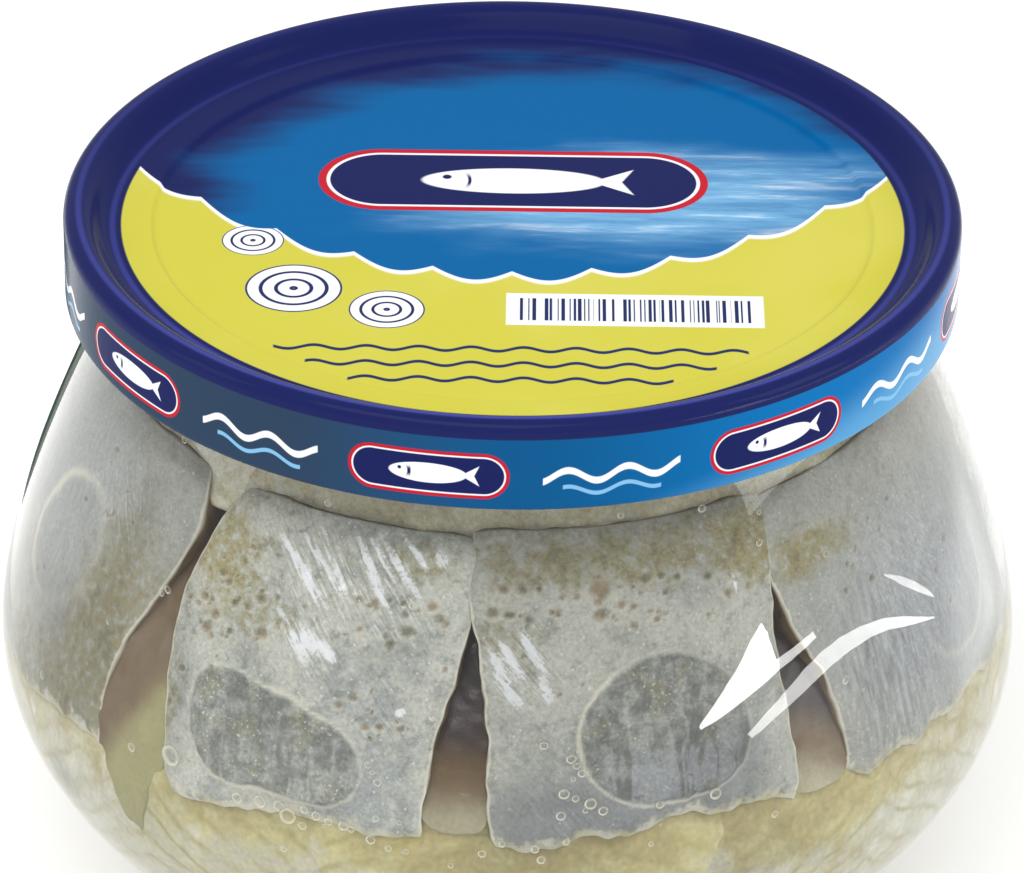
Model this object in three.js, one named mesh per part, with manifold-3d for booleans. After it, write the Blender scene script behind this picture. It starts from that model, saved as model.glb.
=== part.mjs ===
// A squat, round-bellied glass jar packed with pieces of matjes herring fillet,
// closed by a metal twist-off lid. Millimetres, +Z up, the origin at the middle
// of the base, the front at -Y.

import * as THREE from 'three';
import { mergeVertices } from 'three/addons/utils/BufferGeometryUtils.js';
import Module from 'manifold-3d';

const wasm = await Module();
wasm.setup();

// Driving dimensions of the glass jar
const roundSteps = 60; // flats round the jar and the lid
const bellyRadius = 49.8; // outside, at the widest
const bellyHeight = 27; // where it is widest
const footRadius = 23.5; // flat face that the jar stands on
const heelRadius = 28.1; // end of the rounded heel
const heelHeight = 1.25;
const heelSlope = THREE.MathUtils.degToRad(26.6); // rise of the underside past the heel
const lowerFullness = 11.8; // lengths of the curve handles below and above the widest level
const upperFullness = 10.5;
const shoulderRadius = 38.5; // where the shoulder meets the neck
const shoulderHeight = 61.6;
const shoulderSlope = THREE.MathUtils.degToRad(122);
const shoulderReach = 3.6; // length of the curve handle at the top of the shoulder
const wall = 2.6; // glass thickness
const floorHeight = 4; // inside, at the middle
const bowlFullness = 0.6; // of the bowl's radius and depth
const finishRadius = 39.7; // ring of glass that the lid turns on
const finishHeight = 65;
const mouthRadius = 36.2; // inside
const rimHeight = 69.5;
const rimRound = 0.9;

// Driving dimensions of the lid
const lidRadius = 42.75;
const lidTop = 72.75; // crest of the bead round the top
const lidBottom = 63.7;
const sheet = 0.7;
const beadRound = 1.35;
const panelHeight = 70.55; // flat ring inside the bead
const panelRadius = 38;
const stepRadius = 34.7; // outer edge of the shallow step down to the middle
const stepWidth = 0.8;
const stepDepth = 0.45;
const recessHandle = 1.6; // curve handles of the slope between the panel and the bead
const curlRound = 0.7;
const curlWidth = 1.85;

// Driving dimensions of the fish
const fishGap = 0.5; // clear of the glass
const thickness = 9;
const coreInset = 5; // depth of the gaps between the pieces
const crown = 1.7; // how far a piece's face falls back at its edges
const cornerCut = 0.12; // of half the piece, at its corners
const edgePower = 6; // how late the fall and the corners begin
const acrossSteps = 6;
const upSteps = 5;
const fillHeight = 66; // top of the uppermost pieces

// Pieces that stand round the shoulder, skin outwards. Azimuths are degrees from
// the front, towards +X. low and high are measured up the inner wall.
const upperPieces = [
  { azimuth: -72.5, width: 31, low: 58.4, high: 88.2, lean: 2.6, taper: -0.06 },
  { azimuth: -26.4, width: 28.8, low: 59.6, high: 88.4, lean: 0.6, taper: 0.02 },
  { azimuth: 15.8, width: 28.4, low: 60.6, high: 88.6, lean: -0.8, taper: 0.03 },
  { azimuth: 60.6, width: 31, low: 59, high: 88.2, lean: -0.6, taper: 0.05 },
  { azimuth: 105.4, width: 29.6, low: 60, high: 87.8, lean: 1.8, taper: 0.03 },
  { azimuth: 149.6, width: 28.8, low: 58.6, high: 88.4, lean: -1.4, taper: 0.05 },
  { azimuth: 194.2, width: 30.2, low: 59.8, high: 88, lean: 1.2, taper: 0.02 },
  { azimuth: 239, width: 29.4, low: 59.2, high: 88.4, lean: -1.8, taper: 0.05 },
];

// Pieces of the layer under them, flesh outwards
const lowerPieces = [
  { azimuth: -92, width: 34.5, low: 25.4, high: 57.6, lean: -1.5, taper: -0.02 },
  { azimuth: -46, width: 35.5, low: 24.8, high: 58.4, lean: 1.5, taper: -0.03 },
  { azimuth: 1, width: 36.5, low: 25.2, high: 59.2, lean: -1, taper: -0.02 },
  { azimuth: 48, width: 35, low: 24.6, high: 58, lean: 2, taper: -0.04 },
  { azimuth: 95, width: 36, low: 25.6, high: 58.6, lean: -2, taper: -0.02 },
  { azimuth: 143, width: 36.5, low: 24.8, high: 57.4, lean: 1, taper: -0.03 },
  { azimuth: 191, width: 36, low: 25.2, high: 58.6, lean: -1.5, taper: -0.02 },
  { azimuth: 229, width: 22.5, low: 25, high: 57.8, lean: 1, taper: -0.03 },
];

// Pieces tucked under the lid, inside the neck
const neckPieces = [
  { azimuth: -62, width: 36, low: 89.2, high: 95, lean: 1, taper: 0 },
  { azimuth: 2, width: 39, low: 89.6, high: 95.4, lean: -1, taper: 0 },
  { azimuth: 68, width: 38, low: 89.1, high: 94.8, lean: 1, taper: 0 },
  { azimuth: 136, width: 41, low: 89.4, high: 95.2, lean: 0, taper: 0 },
  { azimuth: 205, width: 40, low: 89, high: 95, lean: 1, taper: 0 },
  { azimuth: 262, width: 27, low: 89.4, high: 94.8, lean: 0, taper: 0 },
];

// Pieces that lie side by side on the bowl's floor
const floorPieces = [
  { x: -14.6, width: 13.4, length: 30 },
  { x: 0, width: 14.4, length: 41 },
  { x: 14.8, width: 13.6, length: 29 },
];
const floorPieceHeight = 6;

// A curve that leaves its start at an angle and arrives straight up or down at its end
function handleCurve(start, startHandle, endHandle, end) {
  return new THREE.CubicBezierCurve(start, start.clone().add(startHandle), end.clone().add(endHandle), end);
}

function polar(length, angle) {
  return new THREE.Vector2(length * Math.cos(angle), length * Math.sin(angle));
}

const belly = new THREE.Vector2(bellyRadius, bellyHeight);
const shoulder = new THREE.Vector2(shoulderRadius, shoulderHeight);
const shoulderHandle = polar(-shoulderReach, shoulderSlope);
const innerBelly = new THREE.Vector2(bellyRadius - wall, bellyHeight);
const innerShoulder = new THREE.Vector2(mouthRadius, shoulderHeight - wall * Math.sin(shoulderSlope - Math.PI / 2));
const bowlDepth = bellyHeight - floorHeight;

// The inside of the glass, from the middle of its floor up to the mouth
const innerWall = new THREE.CurvePath();
innerWall.add(handleCurve(
  new THREE.Vector2(0, floorHeight),
  new THREE.Vector2(innerBelly.x * bowlFullness, 0),
  new THREE.Vector2(0, -bowlDepth * bowlFullness),
  innerBelly,
));
innerWall.add(handleCurve(innerBelly, new THREE.Vector2(0, upperFullness), shoulderHandle, innerShoulder));
innerWall.add(new THREE.LineCurve(innerShoulder, new THREE.Vector2(mouthRadius, rimHeight - rimRound)));
const wallLength = innerWall.getLength();

// A closed outline turned round the Z axis
function turned(outline, steps) {
  const geometry = new THREE.LatheGeometry(outline, steps);
  geometry.rotateX(Math.PI / 2);
  return geometry;
}

function curvePoints(curve, steps) {
  return curve.getPoints(steps).slice(1);
}

function jarOutline() {
  const heel = new THREE.Vector2(heelRadius, heelHeight);
  const heelCorner = new THREE.Vector2(heelRadius - heelHeight / Math.tan(heelSlope), 0);
  const foot = new THREE.Vector2(footRadius, 0);
  const rimCorner = new THREE.Vector2(finishRadius, rimHeight);
  const innerCorner = new THREE.Vector2(mouthRadius, rimHeight);
  return [
    new THREE.Vector2(0, 0),
    foot,
    ...curvePoints(new THREE.QuadraticBezierCurve(foot, heelCorner, heel), 3),
    ...curvePoints(handleCurve(heel, polar(lowerFullness, heelSlope), new THREE.Vector2(0, -lowerFullness), belly), 7),
    ...curvePoints(handleCurve(belly, new THREE.Vector2(0, upperFullness), shoulderHandle, shoulder), 7),
    new THREE.Vector2(shoulderRadius, finishHeight - wall),
    new THREE.Vector2(finishRadius, finishHeight),
    ...curvePoints(new THREE.QuadraticBezierCurve(
      new THREE.Vector2(finishRadius, rimHeight - rimRound),
      rimCorner,
      new THREE.Vector2(finishRadius - rimRound, rimHeight),
    ), 2),
    ...curvePoints(new THREE.QuadraticBezierCurve(
      new THREE.Vector2(mouthRadius + rimRound, rimHeight),
      innerCorner,
      new THREE.Vector2(mouthRadius, rimHeight - rimRound),
    ), 2),
    ...innerWall.getPoints(7).reverse().slice(1),
  ];
}

// The lid's sheet from the middle of its top round the bead and the skirt to the middle of its
// underside, listed from the underside so that its faces point out
function lidOutline() {
  const quarter = (from, corner, to) => curvePoints(new THREE.QuadraticBezierCurve(from, corner, to), 3);
  const slope = (from, to) => curvePoints(handleCurve(
    from,
    new THREE.Vector2(Math.sign(to.x - from.x) * recessHandle, 0),
    new THREE.Vector2(Math.sign(from.x - to.x) * recessHandle, 0),
    to,
  ), 5);
  const at = (radius, height) => new THREE.Vector2(radius, height);
  const crestRadius = lidRadius - beadRound;
  const innerRadius = lidRadius - sheet;
  const curlInside = lidRadius - curlWidth;
  return [
    at(0, panelHeight - stepDepth),
    at(stepRadius - stepWidth, panelHeight - stepDepth),
    at(stepRadius, panelHeight),
    at(panelRadius, panelHeight),
    ...slope(at(panelRadius, panelHeight), at(crestRadius, lidTop)),
    ...quarter(at(crestRadius, lidTop), at(lidRadius, lidTop), at(lidRadius, lidTop - beadRound)),
    at(lidRadius, lidBottom + curlRound),
    ...quarter(at(lidRadius, lidBottom + curlRound), at(lidRadius, lidBottom), at(lidRadius - curlRound, lidBottom)),
    ...quarter(
      at(curlInside + curlRound, lidBottom),
      at(curlInside, lidBottom),
      at(curlInside, lidBottom + curlRound),
    ),
    at(curlInside, lidBottom + 2 * curlRound),
    at(innerRadius, lidBottom + 3 * curlRound),
    at(innerRadius, lidTop - beadRound),
    ...quarter(
      at(innerRadius, lidTop - beadRound),
      at(innerRadius, lidTop - sheet),
      at(crestRadius, lidTop - sheet),
    ),
    ...slope(at(crestRadius, lidTop - sheet), at(panelRadius, panelHeight - sheet)),
    at(stepRadius + sheet / 2, panelHeight - sheet),
    at(stepRadius - stepWidth + sheet / 2, panelHeight - sheet - stepDepth),
    at(0, panelHeight - sheet - stepDepth),
  ].reverse();
}

// A point beside the inner wall: a distance up it from the middle of the floor, and an inset
function besideWall(distance, inset) {
  const along = THREE.MathUtils.clamp(distance / wallLength, 0, 1);
  const point = innerWall.getPointAt(along);
  const tangent = innerWall.getTangentAt(along);
  return new THREE.Vector2(point.x - tangent.y * inset, point.y + tangent.x * inset);
}

function toSolid(geometry) {
  geometry.deleteAttribute('normal');
  geometry.deleteAttribute('uv');
  const merged = mergeVertices(geometry, 1e-4);
  return new wasm.Manifold(new wasm.Mesh({
    numProp: 3,
    vertProperties: Float32Array.from(merged.attributes.position.array),
    triVerts: Uint32Array.from(merged.index.array),
  }));
}

function toGeometry(solid) {
  const mesh = solid.getMesh();
  const geometry = new THREE.BufferGeometry();
  geometry.setAttribute('position', new THREE.BufferAttribute(mesh.vertProperties, 3));
  geometry.setIndex(new THREE.BufferAttribute(mesh.triVerts, 1));
  geometry.computeVertexNormals();
  return geometry;
}

// A block whose X, Y and Z are shaped by place(across, up, outside), with across and up from -1 to 1
function shapedBlock(place) {
  const block = new THREE.BoxGeometry(2, 2, 2, acrossSteps, upSteps, 1);
  const position = block.attributes.position;
  for (let i = 0; i < position.count; i++) {
    const side = position.getX(i);
    const rise = position.getY(i);
    const across = side * (1 - cornerCut * Math.abs(rise) ** edgePower);
    const up = rise * (1 - cornerCut * Math.abs(side) ** edgePower);
    const fall = crown * (Math.abs(side) ** edgePower + Math.abs(rise) ** edgePower);
    position.setXYZ(i, ...place(across, up, position.getZ(i) > 0, fall));
  }
  return toSolid(block);
}

// A thick strip of fillet that follows the inside of the glass
function standingPiece({ azimuth, width, low, high, lean, taper }) {
  return shapedBlock((across, up, outside, fall) => {
    const distance = (low + high) / 2 + up * (high - low) / 2;
    const point = besideWall(distance, outside ? fishGap + fall : thickness);
    const halfWidth = width / 2 * (1 - taper * up);
    const turn = THREE.MathUtils.degToRad(azimuth + lean * up) + across * halfWidth / besideWall(distance, 0).x;
    return [point.x * Math.sin(turn), -point.x * Math.cos(turn), point.y];
  });
}

// A strip that lies on the bowl's floor, its underside bent to the bowl
function lyingPiece({ x, width, length }) {
  return shapedBlock((across, up, outside, fall) => {
    const px = x + across * width / 2;
    const py = up * length / 2;
    const radius = Math.hypot(px, py);
    const floor = besideWall(radius, fishGap).y;
    return [-px, py, outside ? floor + fall : floor + floorPieceHeight];
  });
}

function fishCore() {
  const steps = 8;
  const top = fillHeight - coreInset / 2;
  const side = [];
  for (let i = 1; i <= steps; i++) {
    const distance = THREE.MathUtils.mapLinear(i, 1, steps, 16, 92);
    side.push(besideWall(distance, coreInset));
  }
  const lowest = besideWall(0, coreInset).y;
  const highest = side[side.length - 1];
  return toSolid(turned([
    new THREE.Vector2(0, lowest),
    ...side,
    new THREE.Vector2(highest.x, top),
    new THREE.Vector2(0, top),
  ], 30));
}

function herringHeap() {
  let heap = fishCore();
  for (const piece of [...upperPieces, ...lowerPieces, ...neckPieces]) {
    heap = heap.add(standingPiece(piece));
  }
  for (const piece of floorPieces) {
    heap = heap.add(lyingPiece(piece));
  }
  return toGeometry(heap);
}

function named(name, geometry, look) {
  const mesh = new THREE.Mesh(geometry, new THREE.MeshStandardMaterial(look));
  mesh.name = name;
  return mesh;
}

const jarOfHerring = new THREE.Group();
jarOfHerring.add(
  named('glass_jar', turned(jarOutline(), roundSteps), {
    color: 0xdfe8e6,
    roughness: 0.03,
    metalness: 0,
    transparent: true,
    opacity: 0.35,
  }),
  named('lid', turned(lidOutline(), roundSteps), { color: 0x1f3a86, roughness: 0.3, metalness: 0.4 }),
  named('herring_pieces', herringHeap(), { color: 0xb4b09c, roughness: 0.35, metalness: 0.1 }),
);

export default jarOfHerring;
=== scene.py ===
import math

import bpy
import numpy as np
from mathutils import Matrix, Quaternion, Vector


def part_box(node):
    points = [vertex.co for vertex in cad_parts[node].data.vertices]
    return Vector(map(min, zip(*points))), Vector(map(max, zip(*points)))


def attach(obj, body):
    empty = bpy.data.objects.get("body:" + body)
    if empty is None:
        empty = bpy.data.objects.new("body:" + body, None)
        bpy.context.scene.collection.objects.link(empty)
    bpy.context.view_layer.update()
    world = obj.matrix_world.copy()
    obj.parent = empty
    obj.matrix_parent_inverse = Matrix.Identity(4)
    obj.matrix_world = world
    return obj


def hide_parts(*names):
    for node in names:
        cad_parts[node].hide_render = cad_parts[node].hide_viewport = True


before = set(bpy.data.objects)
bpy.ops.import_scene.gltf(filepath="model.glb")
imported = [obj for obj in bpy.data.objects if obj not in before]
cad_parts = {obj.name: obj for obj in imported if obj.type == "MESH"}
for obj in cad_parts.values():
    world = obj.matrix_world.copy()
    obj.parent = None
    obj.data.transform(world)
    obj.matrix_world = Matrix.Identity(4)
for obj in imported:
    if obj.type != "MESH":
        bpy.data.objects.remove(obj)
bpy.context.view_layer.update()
mm = 0.001
print("frame loaded")


def cubic(start, leave, arrive, end, steps=40):
    # Cubic curve between two points; leave and arrive are its handles, measured from its own ends
    t = np.linspace(0, 1, steps + 1)[:, None]
    start, end = np.array(start, float), np.array(end, float)
    near, far = start + leave, end + arrive
    return (1 - t) ** 3 * start + 3 * t * (1 - t) ** 2 * near + 3 * t ** 2 * (1 - t) * far + t ** 3 * end


def corner(before, tip, after, steps=8):
    # Quadratic curve that rounds off the corner at tip
    t = np.linspace(0, 1, steps + 1)[:, None]
    before, tip, after = (np.array(p, float) for p in (before, tip, after))
    return (1 - t) ** 2 * before + 2 * t * (1 - t) * tip + t ** 2 * after


def heading(length, degrees):
    # A flat vector of that length: the cosine and the sine of its direction
    return length * np.array([math.cos(math.radians(degrees)), math.sin(math.radians(degrees))])


def evenly(points, spacing):
    # The same outline with its points that far apart, by straight steps along its length
    points = np.array(points, float)
    along = np.concatenate([[0], np.cumsum(np.hypot(*np.diff(points, axis=0).T))])
    wanted = np.linspace(0, along[-1], max(3, int(round(along[-1] / spacing)) + 1))
    return np.stack([np.interp(wanted, along, points[:, 0]), np.interp(wanted, along, points[:, 1])], 1)


def turned(outline, steps):
    # Every (radius, height) of an open outline becomes a ring round Z; its two ends on the axis are poles
    rings = np.array(outline, float)[1:-1]
    turn = np.arange(steps) * 2 * np.pi / steps
    around = np.stack([np.sin(turn), -np.cos(turn)], 1)
    points = np.concatenate([
        (rings[:, None, :1] * around[None]).reshape(-1, 2),
        np.zeros((2, 2)),
    ])
    heights = np.concatenate([np.repeat(rings[:, 1], steps), [outline[0][1], outline[-1][1]]])
    ring = np.arange(len(rings) - 1)[:, None] * steps
    here = np.arange(steps)[None]
    after = (here + 1) % steps
    walls = np.stack([ring + here, ring + after, ring + steps + after, ring + steps + here], -1)
    last = (len(rings) - 1) * steps
    one, other = len(points) - 2, len(points) - 1
    none = np.full(steps, -1)
    here, after = here[0], after[0]
    ends = np.concatenate([
        np.stack([after, here, np.full(steps, one), none], 1),
        np.stack([last + here, last + after, np.full(steps, other), none], 1),
    ])
    return np.column_stack([points, heights]), np.concatenate([walls.reshape(-1, 4), ends])


def secondFinish(count, first, steps):
    # Which faces of a turned outline lie past its first points and take the second material
    level = np.repeat(np.arange(count - 3), steps)
    return np.concatenate([level >= first - 2, np.zeros(steps, bool), np.ones(steps, bool)])


def enclosed(points, faces):
    # Signed volume inside the faces: each one is split into triangles that span a wedge to the origin
    a, b, c = points[faces[:, 0]], points[faces[:, 1]], points[faces[:, 2]]
    d = points[np.where(faces[:, 3] < 0, faces[:, 0], faces[:, 3])]
    return (np.einsum("ij,ij->i", a, np.cross(b, c)) + np.einsum("ij,ij->i", a, np.cross(c, d))).sum() / 6


def addPiece(name, points, faces, materials, finishOf=None, marks=None):
    # Arrays of points in mm and of faces, with -1 as a triangle's fourth corner, become a closed mesh
    points = np.asarray(points, float)
    if enclosed(points, faces) < 0:
        faces = np.where(faces[:, 3:] < 0, faces[:, [2, 1, 0, 3]], faces[:, ::-1])
    used = faces >= 0
    mesh = bpy.data.meshes.new(name)
    mesh.vertices.add(len(points))
    mesh.vertices.foreach_set("co", (points * mm).astype(np.float32).ravel())
    mesh.loops.add(int(used.sum()))
    mesh.polygons.add(len(faces))
    counts = used.sum(1)
    starts = np.concatenate([[0], np.cumsum(counts)[:-1]])
    mesh.polygons.foreach_set("loop_start", starts.astype(np.int32))
    mesh.polygons.foreach_set("vertices", faces[used].astype(np.int32))
    if finishOf is not None:
        mesh.polygons.foreach_set("material_index", np.asarray(finishOf, np.int32))
    for mark, values in (marks or {}).items():
        layer = mesh.attributes.new(mark, "FLOAT_VECTOR", "POINT")
        layer.data.foreach_set("vector", np.asarray(values, np.float32).ravel())
    mesh.update(calc_edges=True)
    mesh.validate()
    mesh.shade_smooth()
    for material in materials:
        mesh.materials.append(material)
    piece = bpy.data.objects.new(name, mesh)
    bpy.context.scene.collection.objects.link(piece)
    return piece


def part(piece, node=None):
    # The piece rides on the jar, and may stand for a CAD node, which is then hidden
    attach(piece, "root")
    if node:
        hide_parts(node)
    return piece


def ripple(u, v, size, seed, layers=3):
    # Smooth unevenness, about -1 to 1: crossing sine waves of seeded direction and phase,
    # each layer half as long and half as high as the one before
    draw = np.random.default_rng(seed)
    total = np.zeros(np.broadcast(u, v).shape)
    for layer in range(layers):
        for _ in range(5):
            turn, shift = draw.uniform(0, 2 * np.pi, 2)
            wave = 2 * np.pi / (size * 0.5 ** layer) * draw.uniform(0.7, 1.3)
            total += 0.5 ** layer * np.sin(wave * (u * np.cos(turn) + v * np.sin(turn)) + shift)
    return total / 3.2


def spots(u, v, places):
    # Soft ovals, each given as (u, v, reach along, reach across, turn in degrees, strength)
    total = np.zeros(np.broadcast(u, v).shape)
    for x, y, along, across, turn, strength in places:
        c, s = math.cos(math.radians(turn)), math.sin(math.radians(turn))
        far = (((u - x) * c + (v - y) * s) / along) ** 2 + (((v - y) * c - (u - x) * s) / across) ** 2
        total += strength * np.exp(-far ** 1.4)
    return total


def closedReach(angle, reaches):
    # A smooth closed outline: the sum of waves that runs through evenly spaced reaches
    waves = np.fft.rfft(reaches) / len(reaches)
    total = np.full(np.shape(angle), waves[0].real)
    for k in range(1, len(waves)):
        double = 1 if 2 * k == len(reaches) else 2
        total = total + double * (waves[k] * np.exp(1j * k * angle)).real
    return total


def ease(low, high, value):
    # 0 below low and 1 above high, with a smooth rise between them
    t = np.clip((value - low) / (high - low), 0, 1)
    return t * t * (3 - 2 * t)


def tone(red, green, blue):
    # A colour as seen on a screen, 0 to 255, as the linear colour that shaders take
    shares = (red / 255, green / 255, blue / 255)
    linear = [c / 12.92 if c <= 0.04045 else ((c + 0.055) / 1.055) ** 2.4 for c in shares]
    return (*linear, 1.0)


class Shade:
    # One output socket in a material's nodes, so that masks add and multiply like numbers
    def __init__(self, tree, socket=None):
        self.tree = tree
        self.socket = socket

    def node(self, kind, settings=None, inputs=None, output=0):
        made = self.tree.nodes.new("ShaderNode" + kind)
        for key, value in (settings or {}).items():
            setattr(made, key, value)
        for key, value in (inputs or {}).items():
            socket = made.inputs[key] if isinstance(key, int) else next(
                s for s in made.inputs if s.name == key and s.enabled)
            if isinstance(value, Shade):
                self.tree.links.new(value.socket, socket)
            else:
                socket.default_value = value
        found = made.outputs[output] if isinstance(output, int) else next(
            s for s in made.outputs if s.name == output and s.enabled)
        return Shade(self.tree, found)

    def calc(self, operation, *terms):
        return self.node("Math", {"operation": operation}, dict(enumerate(terms)))

    def __add__(self, other):
        return self.calc("ADD", self, other)

    def __radd__(self, other):
        return self.calc("ADD", other, self)

    def __sub__(self, other):
        return self.calc("SUBTRACT", self, other)

    def __rsub__(self, other):
        return self.calc("SUBTRACT", other, self)

    def __mul__(self, other):
        return self.calc("MULTIPLY", self, other)

    def __rmul__(self, other):
        return self.calc("MULTIPLY", other, self)

    def __truediv__(self, other):
        return self.calc("DIVIDE", self, other)

    def __pow__(self, other):
        return self.calc("POWER", self, other)

    def top(self, other):
        return self.calc("MAXIMUM", self, other)

    def low(self, other):
        return self.calc("MINIMUM", self, other)

    def size(self):
        return self.calc("ABSOLUTE", self)

    def sine(self):
        return self.calc("SINE", self)

    def rise(self, start, end):
        # 0 at start and 1 at end, eased; falls where start is above end
        return self.node("MapRange", {"interpolation_type": "SMOOTHSTEP"}, {
            "Value": self, "From Min": start, "From Max": end})

    def split(self):
        return [self.node("SeparateXYZ", None, {0: self}, axis) for axis in range(3)]

    def scaled(self, factors):
        return self.node("VectorMath", {"operation": "MULTIPLY"}, {0: self, 1: factors})

    def shifted(self, offset):
        return self.node("VectorMath", {"operation": "ADD"}, {0: self, 1: offset})

    def spun(self, degrees):
        return self.node("VectorRotate", {"rotation_type": "Z_AXIS"}, {
            "Vector": self, "Angle": math.radians(degrees)})

    def noise(self, scale, detail=3.0, rough=0.5, twist=0.0):
        return self.node("TexNoise", None, {
            "Vector": self, "Scale": scale, "Detail": detail, "Roughness": rough, "Distortion": twist})

    def cells(self, scale, output="Distance", feature="F1"):
        return self.node("TexVoronoi", {"feature": feature}, {"Vector": self, "Scale": scale}, output)

    def paint(self, first, second, factor):
        # first where factor is 0, second where it is 1
        inputs = {"Factor": factor, "A": first, "B": second}
        return self.node("Mix", {"data_type": "RGBA"}, inputs, "Result")

    def under(self, colour, factor):
        # This colour with another one over it where the factor is 1
        return self.paint(self, colour, factor)

    def layered(self, tones, layers):
        # Each layer is the name of a tone and the factor that it covers what is below with
        base = self
        for name, factor in layers:
            base = base.under(tones[name], factor)
        return base

    def shaded(self, factor):
        return self.node("VectorMath", {"operation": "SCALE"}, {0: self, "Scale": factor})

    def bump(self, strength, distance):
        # A normal from this height, with its distance in metres
        return self.node("Bump", None, {"Strength": strength, "Distance": distance, "Height": self})


def newMaterial(name):
    # An empty material, and a shade that adds nodes to it
    material = bpy.data.materials.new(name)
    material.use_nodes = True
    material.node_tree.nodes.clear()
    return material, Shade(material.node_tree)


def finished(material, kit, surface):
    # The surface goes to the material's output
    made = kit.tree.nodes.new("ShaderNodeOutputMaterial")
    kit.tree.links.new(surface.socket, made.inputs["Surface"])
    return material


def plainSurface(kit, sockets):
    return kit.node("BsdfPrincipled", None, sockets)


def millimetres(kit):
    # The place on the part, as the pieces stand at the origin
    return kit.node("TexCoord", None, None, "Object").scaled((1000, 1000, 1000))


def mark(kit, name):
    # Three values that the mesh holds at each point
    return kit.node("Attribute", {"attribute_name": name}, None, "Vector")


def throughForLight(kit, surface):
    # Light for the food passes straight through; only what the eye sees is bent
    path = kit.tree.nodes.new("ShaderNodeLightPath")
    shadow, diffuse = (Shade(kit.tree, path.outputs[name]) for name in ("Is Shadow Ray", "Is Diffuse Ray"))
    straight = shadow.top(diffuse)
    clear = kit.node("BsdfTransparent", None, {"Color": (1, 1, 1, 1)})
    return kit.node("MixShader", None, {0: straight, 1: surface, 2: clear})


# The glass jar
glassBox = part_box("glass_jar")
glass = {
    "belly": (glassBox[1].x / mm, 27),  # outside, at the widest
    "foot": 23.5,  # flat face that it stands on
    "heel": (28.1, 1.25),
    "heelSlope": 26.6,
    "lowerFullness": 11.8,  # curve handles below and above the widest level
    "upperFullness": 10.5,
    "shoulder": (38.5, 61.6),
    "shoulderSlope": 122,
    "shoulderReach": 3.6,
    "wall": 2.6,
    "floor": 4,
    "bowlFullness": 0.6,
    "finish": (39.7, 65),  # ring that the lid turns on
    "mouth": 36.2,
    "rim": glassBox[1].z / mm,
    "rimRound": 0.9,
    "steps": 288,
    "innerSpacing": 1.6,  # between the rings of the inner face
    "ior": 1.5,
    "innerIor": 1.015,  # of glass against oil
    "tint": (0.985, 0.995, 0.99, 1),
}


def innerWallLine():
    # From the middle of the bowl's floor up inside the belly and the shoulder to the mouth
    radius, height = glass["belly"][0] - glass["wall"], glass["belly"][1]
    depth = height - glass["floor"]
    slope, fullness = glass["shoulderSlope"], glass["bowlFullness"]
    drop = glass["wall"] * math.sin(math.radians(slope - 90))
    shoulder = np.array([glass["mouth"], glass["shoulder"][1] - drop])
    widest, reach = (radius, height), heading(-glass["shoulderReach"], slope)
    bowl = cubic((0, glass["floor"]), (radius * fullness, 0), (0, -depth * fullness), widest, 200)
    belly = cubic(widest, (0, glass["upperFullness"]), reach, shoulder, 200)
    neck = np.array([[glass["mouth"], glass["rim"] - glass["rimRound"]]])
    return np.concatenate([bowl, belly[1:], neck])


wallLine = innerWallLine()
wallAlong = np.concatenate([[0], np.cumsum(np.hypot(*np.diff(wallLine, axis=0).T))])
wallFacing = np.gradient(wallLine, wallAlong, axis=0)
wallFacing /= np.hypot(*wallFacing.T)[:, None]


def besideWall(distance, inset):
    # The point that far up the inner wall, moved square to it by the inset
    distance = np.clip(distance, 0, wallAlong[-1])
    r, z, tr, tz = (np.interp(distance, wallAlong, line) for line in (*wallLine.T, *wallFacing.T))
    return r - tz * inset, z + tr * inset


def glassOutline():
    # Up the outside from the middle of the foot to the rim, then down the inner line, in arcs and curves
    foot, heel, belly, shoulder = glass["foot"], glass["heel"], glass["belly"], glass["shoulder"]
    finish, mouth, rim, rounding = glass["finish"], glass["mouth"], glass["rim"], glass["rimRound"]
    heelTip = (heel[0] - heel[1] / math.tan(math.radians(glass["heelSlope"])), 0)
    lower, upper = glass["lowerFullness"], glass["upperFullness"]
    shoulderHandle = heading(-glass["shoulderReach"], glass["shoulderSlope"])
    outside = [
        [(0, 0)],
        corner((foot, 0), heelTip, heel, 12),
        cubic(heel, heading(lower, glass["heelSlope"]), (0, -lower), belly, 40)[1:],
        cubic(belly, (0, upper), shoulderHandle, shoulder, 48)[1:],
        [(shoulder[0], finish[1] - glass["wall"])],
        corner((finish[0] - 0.3, finish[1] - 0.3), finish, (finish[0], finish[1] + 0.4), 4),
        corner((finish[0], rim - rounding), (finish[0], rim), (finish[0] - rounding, rim)),
        corner((mouth + rounding, rim), (mouth, rim), (mouth, rim - rounding)),
    ]
    outer = np.concatenate([np.array(p, float) for p in outside])
    inner = evenly(wallLine, glass["innerSpacing"])[::-1][1:]
    return np.concatenate([outer, inner]), len(outer)


def glassFinish(name, ior):
    # Smooth glass that bends what the eye sees by its own index
    material, kit = newMaterial(name)
    body = plainSurface(kit, {
        "Base Color": glass["tint"], "Roughness": 0.0, "IOR": ior, "Transmission Weight": 1.0})
    return finished(material, kit, throughForLight(kit, body))


outline, outerCount = glassOutline()
points, faces = turned(outline, glass["steps"])
glassMaterials = [glassFinish("clearGlass", glass["ior"]), glassFinish("glassOnOil", glass["innerIor"])]
inside = secondFinish(len(outline), outerCount, glass["steps"])
part(addPiece("jar_of_glass", points, faces, glassMaterials, inside), "glass_jar")
print("glass made", len(points))


# The oil that fills it
oil = {
    "reach": 0.15,  # into the glass, so that no air shows
    "level": 66,
    "tint": (1.0, 0.997, 0.983, 1),  # each time that light passes its surface
    "steps": 144,
}


def oilFinish():
    # Clear, with its tint at the surface
    material, kit = newMaterial("herringOil")
    return finished(material, kit, kit.node("BsdfTransparent", None, {"Color": oil["tint"]}))


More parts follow.
